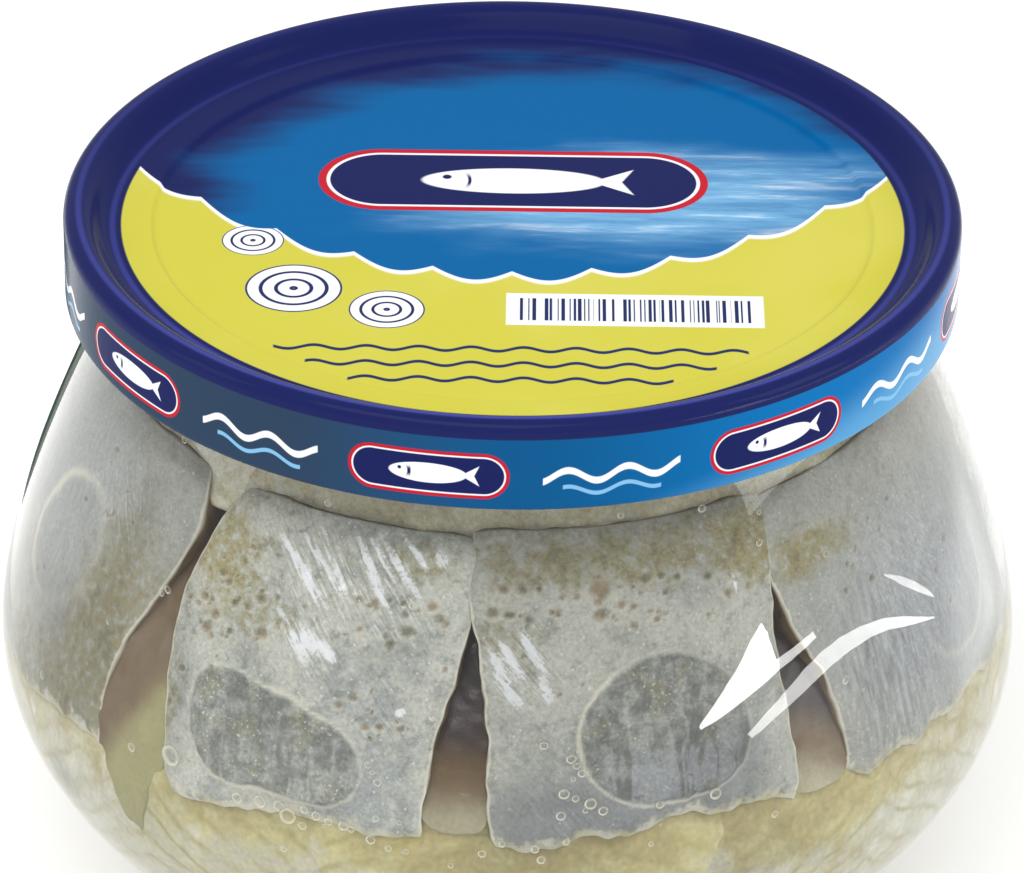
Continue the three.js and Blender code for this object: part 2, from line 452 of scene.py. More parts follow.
levels = len(evenly(wallLine, glass["innerSpacing"]))
away = np.array(besideWall(np.linspace(0, wallAlong[-1], levels), -oil["reach"])).T
away = away[away[:, 1] < oil["level"]]
away[0, 0] = 0
oilOutline = np.concatenate([away, [[away[-1, 0], oil["level"]], [0, oil["level"]]]])
points, faces = turned(oilOutline, oil["steps"])
part(addPiece("oil_fill", points, faces, [oilFinish()]))
print("oil made", len(points))


# The printed lid
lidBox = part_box("lid")
lid = {
    "radius": lidBox[1].x / mm,
    "top": lidBox[1].z / mm,  # crest of the bead
    "bottom": lidBox[0].z / mm,
    "bead": 1.35,
    "sheet": 0.7,
    "panel": (38, 70.55),  # flat ring inside the bead, radius and height
    "step": (34.7, 0.45),  # shallow step down to the middle, radius and depth
    "handle": 1.6,
    "curl": 0.7,
    "curlWidth": 1.85,
    "steps": 288,
    "seam": 71.19,  # height where the navy ends and the skirt's blue begins
    "print": 37.27,  # radius of the printed field
    "paintedSheenRings": (38.1, 41.3),  # radii of the painted highlight lines on the bead
    "gloss": 0.2,
}
lidPrint = {
    "badge": {"behind": 8.4, "half": 12.6, "rounding": 6.2, "edge": 0.775},  # the bar in the middle
    "plaques": 8,
    "plaque": {"height": 67.35, "half": 5.1, "rounding": 2.35, "edge": 0.341},  # the bars on the skirt
    "waves": ((-24.4, 22.0), (-27.2, 19.0), (-30.0, 15.0)),  # y and reach
    "rings": ((-20.4, -13.4, 4.6), (-11.6, -17.2, 3.6), (-24.6, -4.2, 3.0)),  # x, y and radius
    "ringPitch": 3.2,
    "panel": {"at": (11.5, -16.8), "outside": (12.0, 3.0), "bars": (10.8, 2.1)},  # middle and half sizes
}
lidTones = {
    "navy": tone(28, 35, 90),
    # the next four skirt tones: painted shade on one side, the print's blue in front, painted light and
    # sheen on the other
    "shadedSlate": tone(46, 66, 90),
    "skirt": tone(14, 86, 138),
    "bright": tone(12, 112, 178),
    "pale": tone(92, 160, 208),
    "blue": tone(2, 98, 160),
    "glow": tone(130, 186, 226),
    "yellow": tone(207, 201, 74),
    "straw": tone(215, 209, 102),
    "red": tone(196, 34, 50),
    "white": tone(244, 246, 250),
    # painted highlight lines on the bead
    "paintedSheen": tone(62, 68, 150),
    "ink": tone(36, 48, 96),
    "lacquer": tone(206, 200, 182),
}


def lidOutline():
    # Over the top from the middle, round the bead, down the skirt, round the curl and back under
    radius, top, bottom, sheet = lid["radius"], lid["top"], lid["bottom"], lid["sheet"]
    panel, floor = lid["panel"], lid["panel"][1] - lid["step"][1]
    crest, edge, reach = radius - lid["bead"], lid["step"][0], lid["handle"]
    curl, inner, skin = lid["curl"], radius - lid["curlWidth"], radius - sheet
    slope = cubic(panel, (reach, 0), (-reach, 0), (crest, top), 20)
    over = [
        [(0, floor), (10, floor), (20, floor), (28, floor), (32, floor), (edge - 1.2, floor)],
        cubic((edge - 0.8, floor), (0.35, 0), (-0.35, 0), (edge, panel[1]), 8),
        [(edge + 0.4, panel[1]), (panel[0] - 1, panel[1])],
        slope,
        corner((crest, top), (radius, top), (radius, top - lid["bead"]), 14)[1:],
        [(radius, lid["seam"] - 0.5), (radius, bottom + curl + 1)],
        corner((radius, bottom + curl), (radius, bottom), (radius - curl, bottom)),
    ]
    under = [
        corner((inner + curl, bottom), (inner, bottom), (inner, bottom + curl)),
        [(inner, bottom + 2 * curl), (skin, bottom + 3 * curl), (skin, top - lid["bead"])],
        corner((skin, top - lid["bead"]), (skin, top - sheet), (crest, top - sheet))[1:],
        (slope - [0, sheet])[::-1][1:],
        [(edge + sheet / 2, panel[1] - sheet)],
        [(edge - 0.8 + sheet / 2, floor - sheet), (0, floor - sheet)],
    ]
    over = np.concatenate([np.array(p, float) for p in over])
    under = np.concatenate([np.array(p, float) for p in under])
    return np.concatenate([over, under]), len(over)


def capsule(x, y, half, rounding):
    # Distance outside a straight bar with round ends: hypot(max(|x| - half, 0), y) - rounding
    reach = (x.size() - half).top(0.0)
    return (reach * reach + y * y) ** 0.5 - rounding


def fishMask(x, y, length):
    # A plain fish: an oval body, a forked tail behind it, and gaps for its eye and gill
    body = (x / (length * 0.40)) ** 2 + (y / (length * 0.115)) ** 2
    body = 1 - body.rise(0.94, 1.06)
    behind = x - length * 0.34
    tail = (1 - (y.size() - behind * 0.62).rise(-0.06, 0.06)) * behind.rise(0.0, 0.05)
    tail = tail * (1 - (behind + y.size() * -0.45).rise(length * 0.13, length * 0.14))
    eye = ((x + length * 0.29) ** 2 + (y - length * 0.03) ** 2) ** 0.5
    gill = (((x + length * 0.36) ** 2 + y * y) ** 0.5 - length * 0.17).size()
    gill = gill.rise(0.1, 0.22).top(1 - y.size().rise(length * 0.08, length * 0.02))
    return body.top(tail) * eye.rise(length * 0.016, length * 0.024) * gill


def plaque(ground, x, y, bar):
    # A navy bar with round ends, a white and a red edge, and a plain white fish on it
    away, edge = capsule(x, y, bar["half"], bar["rounding"]), bar["edge"]
    return ground.layered(lidTones, [
        ("red", away.rise(0.06, -0.06)),
        ("white", (away + edge).rise(0.05, -0.05)),
        ("navy", (away + edge * 1.45).rise(0.05, -0.05)),
        ("white", fishMask(x, y, bar["half"] * 1.75)),
    ])


def seaField(kit, where, x, y):
    # Navy round the outside, blue inside, and pale streaks of light low in the middle
    haze = where.scaled((0.035, 0.12, 0.0)).noise(1.0, 3.0, 0.6)
    halo = (((x - 5.0) / 40.0) ** 2 + (y / 36.5) ** 2) ** 0.5
    field = kit.paint(lidTones["blue"], lidTones["navy"], (halo + (haze - 0.5) * 0.4).rise(0.76, 0.98))
    glow = (((x - 12.0) / 29.0) ** 2 + ((y - 4.5) / 12.0) ** 2) ** 0.5
    water = where.scaled((0.05, 0.4, 0.0)).noise(1.0, 5.0, 0.65)
    light = (glow + (haze - 0.5) * 1.2).rise(1.1, 0.3)
    field = field.under(lidTones["glow"], light * (water.rise(0.3, 0.6) * 0.55 + 0.4))
    return field.under(lidTones["white"], light * water.rise(0.52, 0.7) * 0.7)


def yellowField(kit, where, x, y, edge):
    # Yellow with a white scalloped edge, ink waves, onion rings on the left and plain bars on the right;
    # a ring is a sine of the distance from its middle
    paler = where.scaled((0.05, 0.05, 0.0)).noise(1.0, 2.0).rise(0.4, 0.7) * 0.5
    lower = kit.paint(lidTones["yellow"], lidTones["straw"], paler)
    lower = lower.under(lidTones["white"], edge.size().rise(1.0, 0.5))
    for low, reach in lidPrint["waves"]:
        line = (y - low - (x * 1.3).sine() * 0.38).size()
        lower = lower.under(lidTones["ink"], line.rise(0.34, 0.2) * x.size().rise(reach, reach - 0.2))
    for cx, cy, radius in lidPrint["rings"]:
        ring = ((x - cx) ** 2 + (y - cy) ** 2) ** 0.5
        lower = lower.under(lidTones["white"], ring.rise(radius, radius - 0.15))
        wave = (ring * (2 * math.pi / (radius / lidPrint["ringPitch"])) + 0.6).sine()
        lower = lower.under(lidTones["ink"], wave.rise(0.55, 0.8) * ring.rise(radius, radius - 0.1))
    panel = lidPrint["panel"]
    across, along = (x - panel["at"][0]).size(), (y - panel["at"][1]).size()
    wide, tall = panel["outside"]
    lower = lower.under(lidTones["white"], (across - wide).top(along - tall).rise(0.08, -0.08))
    bars = where.scaled((2.6, 0.0, 0.0)).shifted((0.0, 0.0, 5.0)).noise(1.0, 1.0, 0.3)
    wide, tall = panel["bars"]
    inner = (across - wide).top(along - tall).rise(0.05, -0.05)
    return lower.under(lidTones["ink"], bars.rise(0.5, 0.53) * inner)


def skirtBand(kit, x, y, z):
    # The print's blue with painted shade on the left and painted light on the right: slate on the left, blue
    # in front, brighter and then pale blue on the right and lower down; eight plaques with waves between
    # them
    around = x.calc("ARCTAN2", x, y * -1.0)
    side = around.sine()
    # painted shade: slate on the left; painted light: brighter and pale blue on the right, paler lower down
    band = kit.paint(lidTones["shadedSlate"], lidTones["skirt"], side.rise(-0.5, 0.05))
    band = band.under(lidTones["bright"], side.rise(0.0, 0.7))
    band = band.under(lidTones["pale"], (side + (lid["seam"] - z) * 0.09).rise(0.86, 1.4))
    segment = 2 * math.pi * lid["radius"] / lidPrint["plaques"]
    turn = around * (lidPrint["plaques"] / (2 * math.pi)) + 0.22
    near = (turn - turn.calc("ROUND", turn)) * segment
    half = turn + 0.5
    between = (half - half.calc("ROUND", half)) * segment
    tall = z - lidPrint["plaque"]["height"]
    band = plaque(band, near, tall, lidPrint["plaque"])
    wave = (tall - (between * 1.15).sine() * 0.6).size()
    band = band.under(lidTones["white"], wave.rise(0.42, 0.28) * between.size().rise(6.4, 6.3))
    twin = (tall + 1.5 - (between * 1.15).sine() * 0.42).size()
    return band.under(lidTones["glow"], twin.rise(0.26, 0.16) * between.size().rise(4.6, 4.5))


def lidFinish():
    # The print is worked out from the place on the lid: the sea, the yellow field, the navy round both, and
    # the skirt's band, with painted shade and light on the skirt and painted highlight rings on the bead.
    # The edge of the yellow is a parabola less arches, each one hump of a sine.
    material, kit = newMaterial("printedLid")
    where = millimetres(kit)
    x, y, z = where.split()
    away = (x * x + y * y) ** 0.5
    badge = lidPrint["badge"]
    field = plaque(seaField(kit, where, x, y), x, y - badge["behind"], badge)
    edge = y + 9.6 - x * x * 0.0155 + (x * 0.42).sine().size() * 1.9
    field = field.under(yellowField(kit, where, x, y, edge), edge.rise(0.08, -0.08))
    base = kit.paint(field, lidTones["navy"], away.rise(lid["print"] - 0.1, lid["print"] + 0.1))
    onSkirt = away.rise(lid["radius"] - 0.35, lid["radius"] - 0.25)
    onSkirt = onSkirt * z.rise(lid["seam"] + 0.06, lid["seam"] - 0.06)
    base = base.under(skirtBand(kit, x, y, z), onSkirt)
    # painted highlight: two soft light rings on the bead, stronger towards the front
    ring = (away - lid["paintedSheenRings"][0]).size().low((away - lid["paintedSheenRings"][1]).size())
    front = (y * -0.012 + 0.55) * z.rise(69.5, 70.5)
    base = base.under(lidTones["paintedSheen"], ring.rise(0.45, 0.1) * front)
    fine = where.noise(1.1, 1.0, 0.6)
    return finished(material, kit, plainSurface(kit, {
        "Base Color": base,
        "Roughness": (fine - 0.5) * 0.06 + lid["gloss"],
        "Metallic": 0.0,
        "IOR": 1.5,
        "Specular IOR Level": 0.03,
        "Coat Weight": away.rise(lid["print"] + 1.5, lid["radius"] - 1.0) * (1 - onSkirt) * 0.07,
        "Coat Roughness": 0.1,
        "Normal": fine.bump(0.05, 0.0003),
    }))


def lacquerFinish():
    # Cream lacquer under the lid
    material, kit = newMaterial("lidLacquer")
    speck = millimetres(kit).noise(0.8, 3.0)
    base = kit.paint(lidTones["lacquer"], tone(190, 182, 160), speck)
    return finished(material, kit, plainSurface(kit, {
        "Base Color": base, "Roughness": 0.35, "Metallic": 0.3}))


outline, overCount = lidOutline()
points, faces = turned(outline, lid["steps"])
underside = secondFinish(len(outline), overCount, lid["steps"])
cap = addPiece("printed_cap", points, faces, [lidFinish(), lacquerFinish()], underside)
part(cap, "lid")
print("lid made", len(points))


# The herring pieces
fish = {
    "gap": 0.65,  # clear of the glass
    "thickness": 9,
    "crown": 0.6,  # how far a piece falls back at its edges
    "cornerCut": 0.025,  # share of its sides that its corners lose
    "edgePower": 12,  # a higher one keeps the fall nearer the edge
    "relief": (9, 0.2),  # size and height of the waves on a face
    "edgeWaves": (9, 0.28),
    "raggedWaves": (5.5, 1.6),
    "patchInset": 0.3,  # a pressed patch lies this near the glass
    "rimLift": 0.2,
    "pitDepth": 0.16,
    "strokeLift": 0.05,
    "leastInset": 0.08,
    "closing": ((0.06, 1.006), (0.2, 1.012), (0.45, 1.015), (0.72, 1.0), (1.0, 0.93)),  # depth and swell
    "spacing": 0.2,  # of the mesh on a piece's face
    "top": 63.5,
    "coreInset": 5,  # of the heap's inside, from the glass
    "coreLine": (14, 92, 60),  # from and to along the wall, and how many rings
    "coreSteps": 180,
    "coreBulge": 0.35,  # waves of its surface, as high as this at the radius below
    "coreRadius": 42,
}
skinTones = {
    "beige": tone(185, 186, 177),
    "grey": tone(150, 154, 149),
    "blue": tone(146, 152, 158),
    "light": tone(206, 209, 207),
    "dark": tone(114, 117, 108),
    "olive": tone(150, 146, 104),
    "amber": tone(158, 138, 90),
    "silver": tone(230, 233, 238),
    "shadow": tone(104, 107, 104),
    "cream": tone(206, 203, 186),
    "stain": tone(120, 108, 62),
    "pitBrown": tone(138, 110, 70),
    "pitOlive": tone(94, 94, 70),
    "cut": tone(112, 98, 66),
    "calm": tone(174, 175, 167),
    "chill": tone(166, 171, 178),
}
fleshTones = {
    "cream": tone(195, 192, 172),
    "yellow": tone(188, 181, 134),
    "line": tone(158, 149, 94),
    "white": tone(207, 207, 197),
    "tan": tone(172, 158, 108),
}
# brown and dark paint the shade deep in the gaps; brown is also the own colour of the cut sides
hollowTones = {
    "lobe": tone(148, 143, 118),
    "olive": tone(144, 140, 96),
    "brown": tone(100, 80, 52),
    "dark": tone(52, 41, 42),
}


def smoothThrough(values, at):
    # The polynomial that runs through evenly spaced values from -1 to 1
    knots = np.linspace(-1, 1, len(values))
    return np.polynomial.Polynomial.fit(knots, values, len(values) - 1)(at)


def gridFaces(rows, columns):
    # The squares between neighbours in a grid of points that is numbered row by row
    row, column = np.meshgrid(np.arange(rows - 1), np.arange(columns - 1), indexing="ij")
    first = (row * columns + column).ravel()
    return np.stack([first, first + 1, first + columns + 1, first + columns], 1)


def scattered(piece, seed):
    # Pits as (u, v, radius): the piece's own and seeded draws around each of its pitted areas
    draw = np.random.default_rng(seed + 21)
    holes = list(piece.get("holes", ()))
    for x, y, along, across, count in piece.get("pitted", ()):
        for _ in range(count):
            du, dv = draw.normal(0, 0.55, 2)
            holes.append((x + du * along, y + dv * across, 0.13 + 0.3 * draw.random() ** 2))
    return holes


def pits(piece, u, v, seed):
    # 1 in each pit, falling to 0 round it, and the same for the painted highlight on its lip: a ring outside
    # its lower half
    pit, lipHighlight = np.zeros_like(u), np.zeros_like(u)
    for x, y, radius in scattered(piece, seed):
        far = np.hypot(u - x, (v - y) * 1.15) / radius
        pit = np.maximum(pit, ease(1.35, 0.45, far))
        lipHighlight = np.maximum(lipHighlight, np.exp(-((far - 1.45) / 0.3) ** 2) * ease(-0.2, 0.8, (y - v) / radius))
    return pit, lipHighlight


def pressedPatches(piece, u, v, seed):
    # How far each point lies inside a patch's closed outline gives the patch, and how near to it the rim
    patch, rim = np.zeros_like(u), np.zeros_like(u)
    for spot in piece.get("patches", ()):
        x, y = u - spot["at"][0], v - spot["at"][1]
        angle, far = np.arctan2(y, x), np.hypot(x, y)
        out = closedReach(angle, spot["reach"]) + 0.12 * ripple(u, v, 2.4, seed + 9, 2) - far
        bright = np.clip(closedReach(angle, spot["rim"]), 0, 1)
        patch = np.maximum(patch, ease(-0.1, 0.45, out) * spot.get("depth", 1))
        rim = np.maximum(rim, np.exp(-((out + 0.1) / spot.get("rimWidth", 0.17)) ** 2) * bright)
    return patch, rim


def standingFillet(name, piece, seed, material):
    # A strip of fillet that follows the wall. Its face is a grid of side and rise from -1 to 1: rise runs
    # up the wall from low to high, side runs between the left and right edges, and the inset falls back at
    # the borders, with waves for unevenness. Rings of the border then go inwards to close it behind.
    low, high = piece["low"], piece["high"]
    middle, half = (low + high) / 2, (high - low) / 2
    knots = np.linspace(-1, 1, 5)
    wallRadius = besideWall(middle + knots * half, 0)[0]
    reach = np.degrees(piece["width"] / 2 * (1 - piece.get("taper", 0) * knots) / wallRadius)
    centre = piece["azimuth"] + piece.get("lean", 0) * knots
    left = piece.get("left", centre - reach)
    right = piece.get("right", centre + reach)
    bottom = piece.get("bottom", np.zeros(5))
    cut, power = piece.get("cornerCut", fish["cornerCut"]), piece.get("edgePower", fish["edgePower"])
    spacing = fish["spacing"] * piece.get("coarse", 1)
    across = max(24, int(piece["width"] / spacing))
    tall = max(16, int((high - low) / spacing))

    def lines(count):
        # From -1 to 1, closer together towards the ends
        even = np.linspace(-1, 1, count)
        return 0.55 * even + 0.45 * np.sin(even * np.pi / 2)

    rise, side = np.meshgrid(lines(tall), lines(across), indexing="ij")

    def place(side, rise, inset):
        # The points for those shares of the face, with their distance up the wall and their azimuth
        up = rise * (1 - cut * np.abs(side) ** power)
        over = side * (1 - cut * np.abs(rise) ** power)
        size, tallest = fish["raggedWaves"]
        ragged = ripple(side * piece["width"] / 2, rise * 0, size, seed + 5, 3)
        ragged = ragged * piece.get("ragged", 0.35) * tallest
        ragged = ragged + smoothThrough(bottom, np.clip(side, -1, 1))
        distance = middle + up * half + ragged * ease(-0.2, 1, -rise)
        size, tallest = fish["edgeWaves"]
        edge = ripple(rise * half, side * 0, size, seed + 7, 3) * tallest * piece.get("wavy", 1)
        turn = (smoothThrough(left, up) * (1 - over) + smoothThrough(right, up) * (1 + over)) / 2
        r, z = besideWall(distance, inset)
        turn = np.radians(turn) + edge * np.abs(side) ** 6 / besideWall(distance, 0)[0]
        return np.stack([r * np.sin(turn), -r * np.cos(turn), z], -1), distance, np.degrees(turn)

    _, distance, turn = place(side, rise, 0.0)
    u = np.radians(turn - piece["azimuth"]) * besideWall(distance, 0)[0]
    v = distance - piece.get("level", middle)
    edge = (1 - np.abs(side)) * piece["width"] / 2

    def look(spotted, everywhere=0.0):
        # How much of one kind of mark each point of the face has
        return np.clip(everywhere + spots(u, v, piece.get(spotted, ())), 0, 1)

    fall = piece.get("crown", fish["crown"]) * (np.abs(side) ** power + np.abs(rise) ** power)
    size, tallest = fish["relief"]
    relief = tallest * ripple(u, v, size, seed, 3)
    inset = fish["gap"] + piece.get("behind", 0) + fall + relief
    inset = inset + piece.get("sink", 0) * ((rise + 1) / 2) ** piece.get("sinkPower", 0.8)
    patch, rim = pressedPatches(piece, u, v, seed)
    inset = inset * (1 - patch) + fish["patchInset"] * patch - fish["rimLift"] * rim
    silver, stroke = look("silver"), look("strokes")
    pit, lipHighlight = pits(piece, u, v, seed)
    inset = inset + fish["pitDepth"] * pit - fish["strokeLift"] * stroke
    inset = np.maximum(inset, fish["leastInset"])
    face = place(side, rise, inset)[0]

    border = np.concatenate([
        np.arange(across),
        across * np.arange(1, tall - 1) + across - 1,
        across * (tall - 1) + np.arange(across)[::-1],
        across * np.arange(1, tall - 1)[::-1],
    ])
    sides, rises, starts = side.ravel()[border], rise.ravel()[border], inset.ravel()[border]
    points = [face.reshape(-1, 3)]
    thickness = piece.get("thickness", fish["thickness"])
    for depth, swell in fish["closing"]:
        wobble = 0.012 * ripple(sides * 15, rises * 15 + depth * 20, 6, seed + 11, 2)
        deep = starts + np.maximum(thickness - starts, 0.5) * depth
        points.append(place(sides * (swell + wobble), rises * (swell + wobble), deep)[0])
    points.append(place(np.zeros(1), np.zeros(1), np.full(1, thickness + 0.5))[0])
    count, start = len(border), across * tall
    here = np.arange(count)
    after = (here + 1) % count
    rings = [np.stack([border[here], start + here, start + after, border[after]], 1)]
    innermost = len(fish["closing"]) - 1
    for k in range(innermost):
        a, b = start + k * count, start + (k + 1) * count
        rings.append(np.stack([a + here, b + here, b + after, a + after], 1))
    last = start + innermost * count
    tip, none = np.full(count, last + count), np.full(count, -1)
    rings.append(np.stack([last + here, tip, last + after, none], 1))
    points = np.concatenate(points)
    faces = np.concatenate([gridFaces(tall, across), *rings])

    extra = len(points) - across * tall
    back = np.concatenate([np.tile(border, innermost + 1), border[:1]])

    def whole(values, behind=None):
        # Values for all points: those behind take the border's, or one value
        flat = np.asarray(values).ravel()
        return np.concatenate([flat, flat[back] if behind is None else np.full(extra, behind)])

    def marked(*rows):
        return np.stack([whole(*row) if isinstance(row, tuple) else whole(row) for row in rows], 1)

    warm, cool = look("warm", piece.get("warmth", 0.0)), look("cool", piece.get("coolness", 0.2))
    # for the gap pieces the cool and silver marks carry painted shade: where it turns brown, where that is
    # full, where it turns dark, where that is full, and how it slants
    if "gapShade" in piece:
        start, full, darkShadeFrom, darkShadeFull, tilt = piece["gapShade"]
        slanted = distance + tilt * u
        cool, silver = ease(start, full, slanted), ease(darkShadeFrom, darkShadeFull, slanted)
    marks = {
        "place": marked(u, v, (edge, 0.0)),
        "tint": marked(warm, cool, silver),
        "press": marked((patch, 0.0), (rim, 0.0), (pit, 0.0)),
        "inner": marked((edge * 0, 1.0), (stroke, 0.0), (lipHighlight, 0.0)),
        # the second value is painted shade: the piece's level of it plus its shaded spots
        "ends": marked((rise + 1) * half, look("paintedShade", piece.get("paintedShadeLevel", 0)), look("pale")),
        "look": marked(np.full_like(u, piece.get("calm", 0)), look("chill"), look("fibres")),
    }
    made = addPiece(name, points, faces, [material], None, marks)
    return part(made, "herring_pieces")


def skinFinish(seed):
    # Silvery herring skin under oil: mottled beige and grey, pits where scales sat with a painted highlight
    # on their lower lips, silvery streaks and specks painted bright as glints, darker mottled patches
    # pressed on the glass, painted shade over parts of each piece, and the brown cut side
    material, kit = newMaterial("herringSkin" + str(seed))
    where = millimetres(kit).shifted((seed * 7.3, 0.0, seed * 3.1))
    place = mark(kit, "place")
    edge = place.split()[2]
    warm, cool, silver = mark(kit, "tint").split()
    patch, rim, pit = mark(kit, "press").split()
    inner, stroke, lipHighlight = mark(kit, "inner").split()
    low, paintedShade, pale = mark(kit, "ends").split()
    calm, chill, fibres = mark(kit, "look").split()

    broad = where.noise(0.14, 1.0, 0.5)
    mottle = where.noise(0.34, 4.0, 0.6)
    blot = where.noise(0.95, 3.0, 0.62)
    fine = where.noise(2.6, 3.0, 0.68)
    greyness = (mottle - 0.5) * 2.6 + (blot - 0.5) * 1.2 + cool * 0.5 + (broad - 0.5) * 1.6 + 0.32
    base = kit.paint(skinTones["beige"], skinTones["grey"], greyness.rise(0.0, 0.95)).layered(skinTones, [
        ("blue", (cool * 1.1 + (mottle - 0.5) * 1.2 - 0.3).rise(0.0, 0.8) * 0.75),
        ("olive", (warm + (mottle - 0.5) * 1.6 + (blot - 0.5) * 0.8).rise(0.15, 0.95) * 0.85),
        ("amber", warm * blot.rise(0.42, 0.6) * broad.rise(0.36, 0.54) * 0.6),
        ("stain", warm * blot.rise(0.5, 0.64) * mottle.rise(0.42, 0.56) * 0.6),
        ("dark", (blot + (mottle - 0.5) * 0.6).rise(0.57, 0.72) * 0.5),
        ("light", (blot + (fine - 0.5) * 0.5).rise(0.46, 0.32) * 0.5),
        ("cream", pale * 0.5),
        ("calm", calm * (1 - warm)),
        ("chill", chill * (1 - warm) * 0.8),
    ])
    fibre = place.scaled((1.7, 0.3, 0.0)).noise(1.0, 2.0, 0.6)
    grain = (fine - 0.5) * 1.2 + (mottle - 0.5) * 0.45 + (blot - 0.5) * 0.4
    grain = grain + (fibre - 0.5) * fibres * 2.4
    base = base.shaded(1.0 + grain * (1 - calm * 0.45))
    # small silvery specks, painted bright as glints
    speck = where.cells(1.35).rise(0.24, 0.1) * blot.rise(0.42, 0.6)
    base = base.under(skinTones["silver"], speck * (1 - warm) * 0.5)

    # pits with a painted highlight on the lower lip
    greener = (broad + (blot - 0.5)).rise(0.4, 0.62)
    pitTone = kit.paint(skinTones["pitBrown"], skinTones["pitOlive"], greener)
    base = base.under(skinTones["cream"], lipHighlight * 0.45)
    base = base.under(pitTone, pit * (0.4 + blot * 0.7))

    # silver streaks lean down to the right, with olive lines between them: the skin's own silver, painted
    # bright as glints and highlights
    streaky = place.spun(52).scaled((0.3, 3.4, 0.0)).shifted((seed, 0.0, 0.0)).noise(1.0, 3.0, 0.6)
    breaks = where.noise(1.4, 2.0, 0.6)
    glint = streaky.rise(0.52, 0.66) * silver * breaks.rise(0.4, 0.6)
    sparkle = where.noise(3.4, 1.0, 0.7)
    bright = stroke + (streaky - 0.5) * 2.8 + (breaks - 0.5) * 1.6 + (sparkle - 0.5) * 2.4 - 0.2
    bright = bright.rise(0.0, 0.7) * stroke.rise(0.02, 0.5)
    dark = streaky.rise(0.5, 0.38) * silver.top(stroke)
    shine = glint.top(bright)
    base = base.layered(skinTones, [
        ("light", stroke.rise(0.0, 0.8) * 0.5),
        ("pitOlive", dark * 0.35),
        ("silver", shine * 0.95),
    ])

    # pressed patches
    ribs = place.scaled((0.5, 0.12, 0.0)).shifted((seed, 0.0, 0.0)).noise(1.0, 2.0, 0.55, 1.6)
    blotch = where.noise(0.62, 3.0, 0.68)
    depth = ((ribs - 0.5) * 1.1 + (blotch - 0.5) * 2.4 + 0.5).rise(0.1, 0.9)
    pressed = kit.paint(skinTones["shadow"], skinTones["grey"], depth).layered(skinTones, [
        ("beige", ((ribs - 0.5) * 1.6 + (blotch - 0.5) * 1.4).rise(0.05, 0.7) * 0.7),
        ("olive", mottle.rise(0.52, 0.66) * 0.4),
        ("chill", chill * ribs.rise(0.42, 0.56) * 0.9),
        ("dark", blot.rise(0.56, 0.68) * 0.7),
        ("silver", sparkle.rise(0.62, 0.74) * mottle.rise(0.45, 0.6) * 0.7),
    ]).shaded(0.93 + (fine - 0.5) * 1.2)
    base = base.under(pressed, patch * 0.92)
    # painted shade: the whole piece a little darker, and darker still where its shade mark is high
    base = base.shaded(0.97 - paintedShade * 0.45)
    base = base.under(skinTones["cream"], rim * 0.75)

    # ragged lower end with flesh showing, a thin pale line at the sides, then the cut side
    bare = (low + (blot - 0.5) * 3.0 + (mottle - 0.5) * 2.0).rise(1.2, 0.2)
    lining = kit.paint(skinTones["cream"], fleshTones["yellow"], mottle.rise(0.4, 0.6))
    base = base.under(lining, bare * 0.55)
    line = (edge + (blot - 0.5) * 0.5).rise(0.3, 0.08)
    base = base.under(skinTones["cream"], line * 0.6)
    base = base.under(kit.paint(skinTones["cut"], hollowTones["brown"], mottle.rise(0.35, 0.6)), inner)

    return finished(material, kit, plainSurface(kit, {
        "Base Color": base,
        "Roughness": 0.42 - shine * 0.2 + inner * 0.15,
        "Metallic": shine * 0.2,
        "IOR": 1.4,
        "Specular IOR Level": 0.35,
        "Normal": (blot * 0.6 + fine * 0.3).bump(0.5, 0.0004),
    }))


def fleshFinish(seed):
    # Cured flesh: greyish cream and yellow with soft darker lines between the muscle segments, and painted
    # shade where its shade mark is high
    material, kit = newMaterial("herringFlesh" + str(seed))
    where = millimetres(kit).shifted((seed * 5.1, seed * 2.7, 0.0))
    u, v, _ = mark(kit, "place").split()
    warm = mark(kit, "tint").split()[0]
    _, paintedShade, pale = mark(kit, "ends").split()
    broad = where.noise(0.09, 2.0, 0.5)
    mottle = where.noise(0.3, 3.0, 0.55)
    fine = where.noise(1.7, 3.0, 0.65)
    slant = (v + u.size() * 0.62 + (where.noise(0.2, 1.0) - 0.5) * 3.2) / 3.4
    wave = (slant.calc("FRACT", slant) - 0.5).size()
    line = wave.rise(0.2, 0.0) * mottle.rise(0.4, 0.6)
    oily = (mottle + (broad - 0.5) + warm * 0.5).rise(0.36, 0.8)
    base = kit.paint(fleshTones["cream"], fleshTones["yellow"], oily).layered(fleshTones, [
        ("white", (broad + (mottle - 0.5) * 0.6 - warm * 0.3).rise(0.5, 0.68) * 0.8),
        ("tan", (where.noise(0.22, 3.0, 0.6) + warm * 0.25).rise(0.55, 0.74) * 0.75),
        ("white", pale * mottle.rise(0.3, 0.6) * 0.8),
        ("line", line * 0.5 + wave.rise(0.42, 0.0) * 0.16),
    ])
    return finished(material, kit, plainSurface(kit, {
        # painted shade darkens the flesh where its shade mark is high
        "Base Color": base.shaded(0.98 + (fine - 0.5) * 0.6 + (mottle - 0.5) * 0.4 - paintedShade * 0.45),
        "Roughness": 0.5,
        "IOR": 1.4,
        "Specular IOR Level": 0.3,
        "Normal": (mottle * 0.5 + fine * 0.25).bump(0.4, 0.0004),
    }))


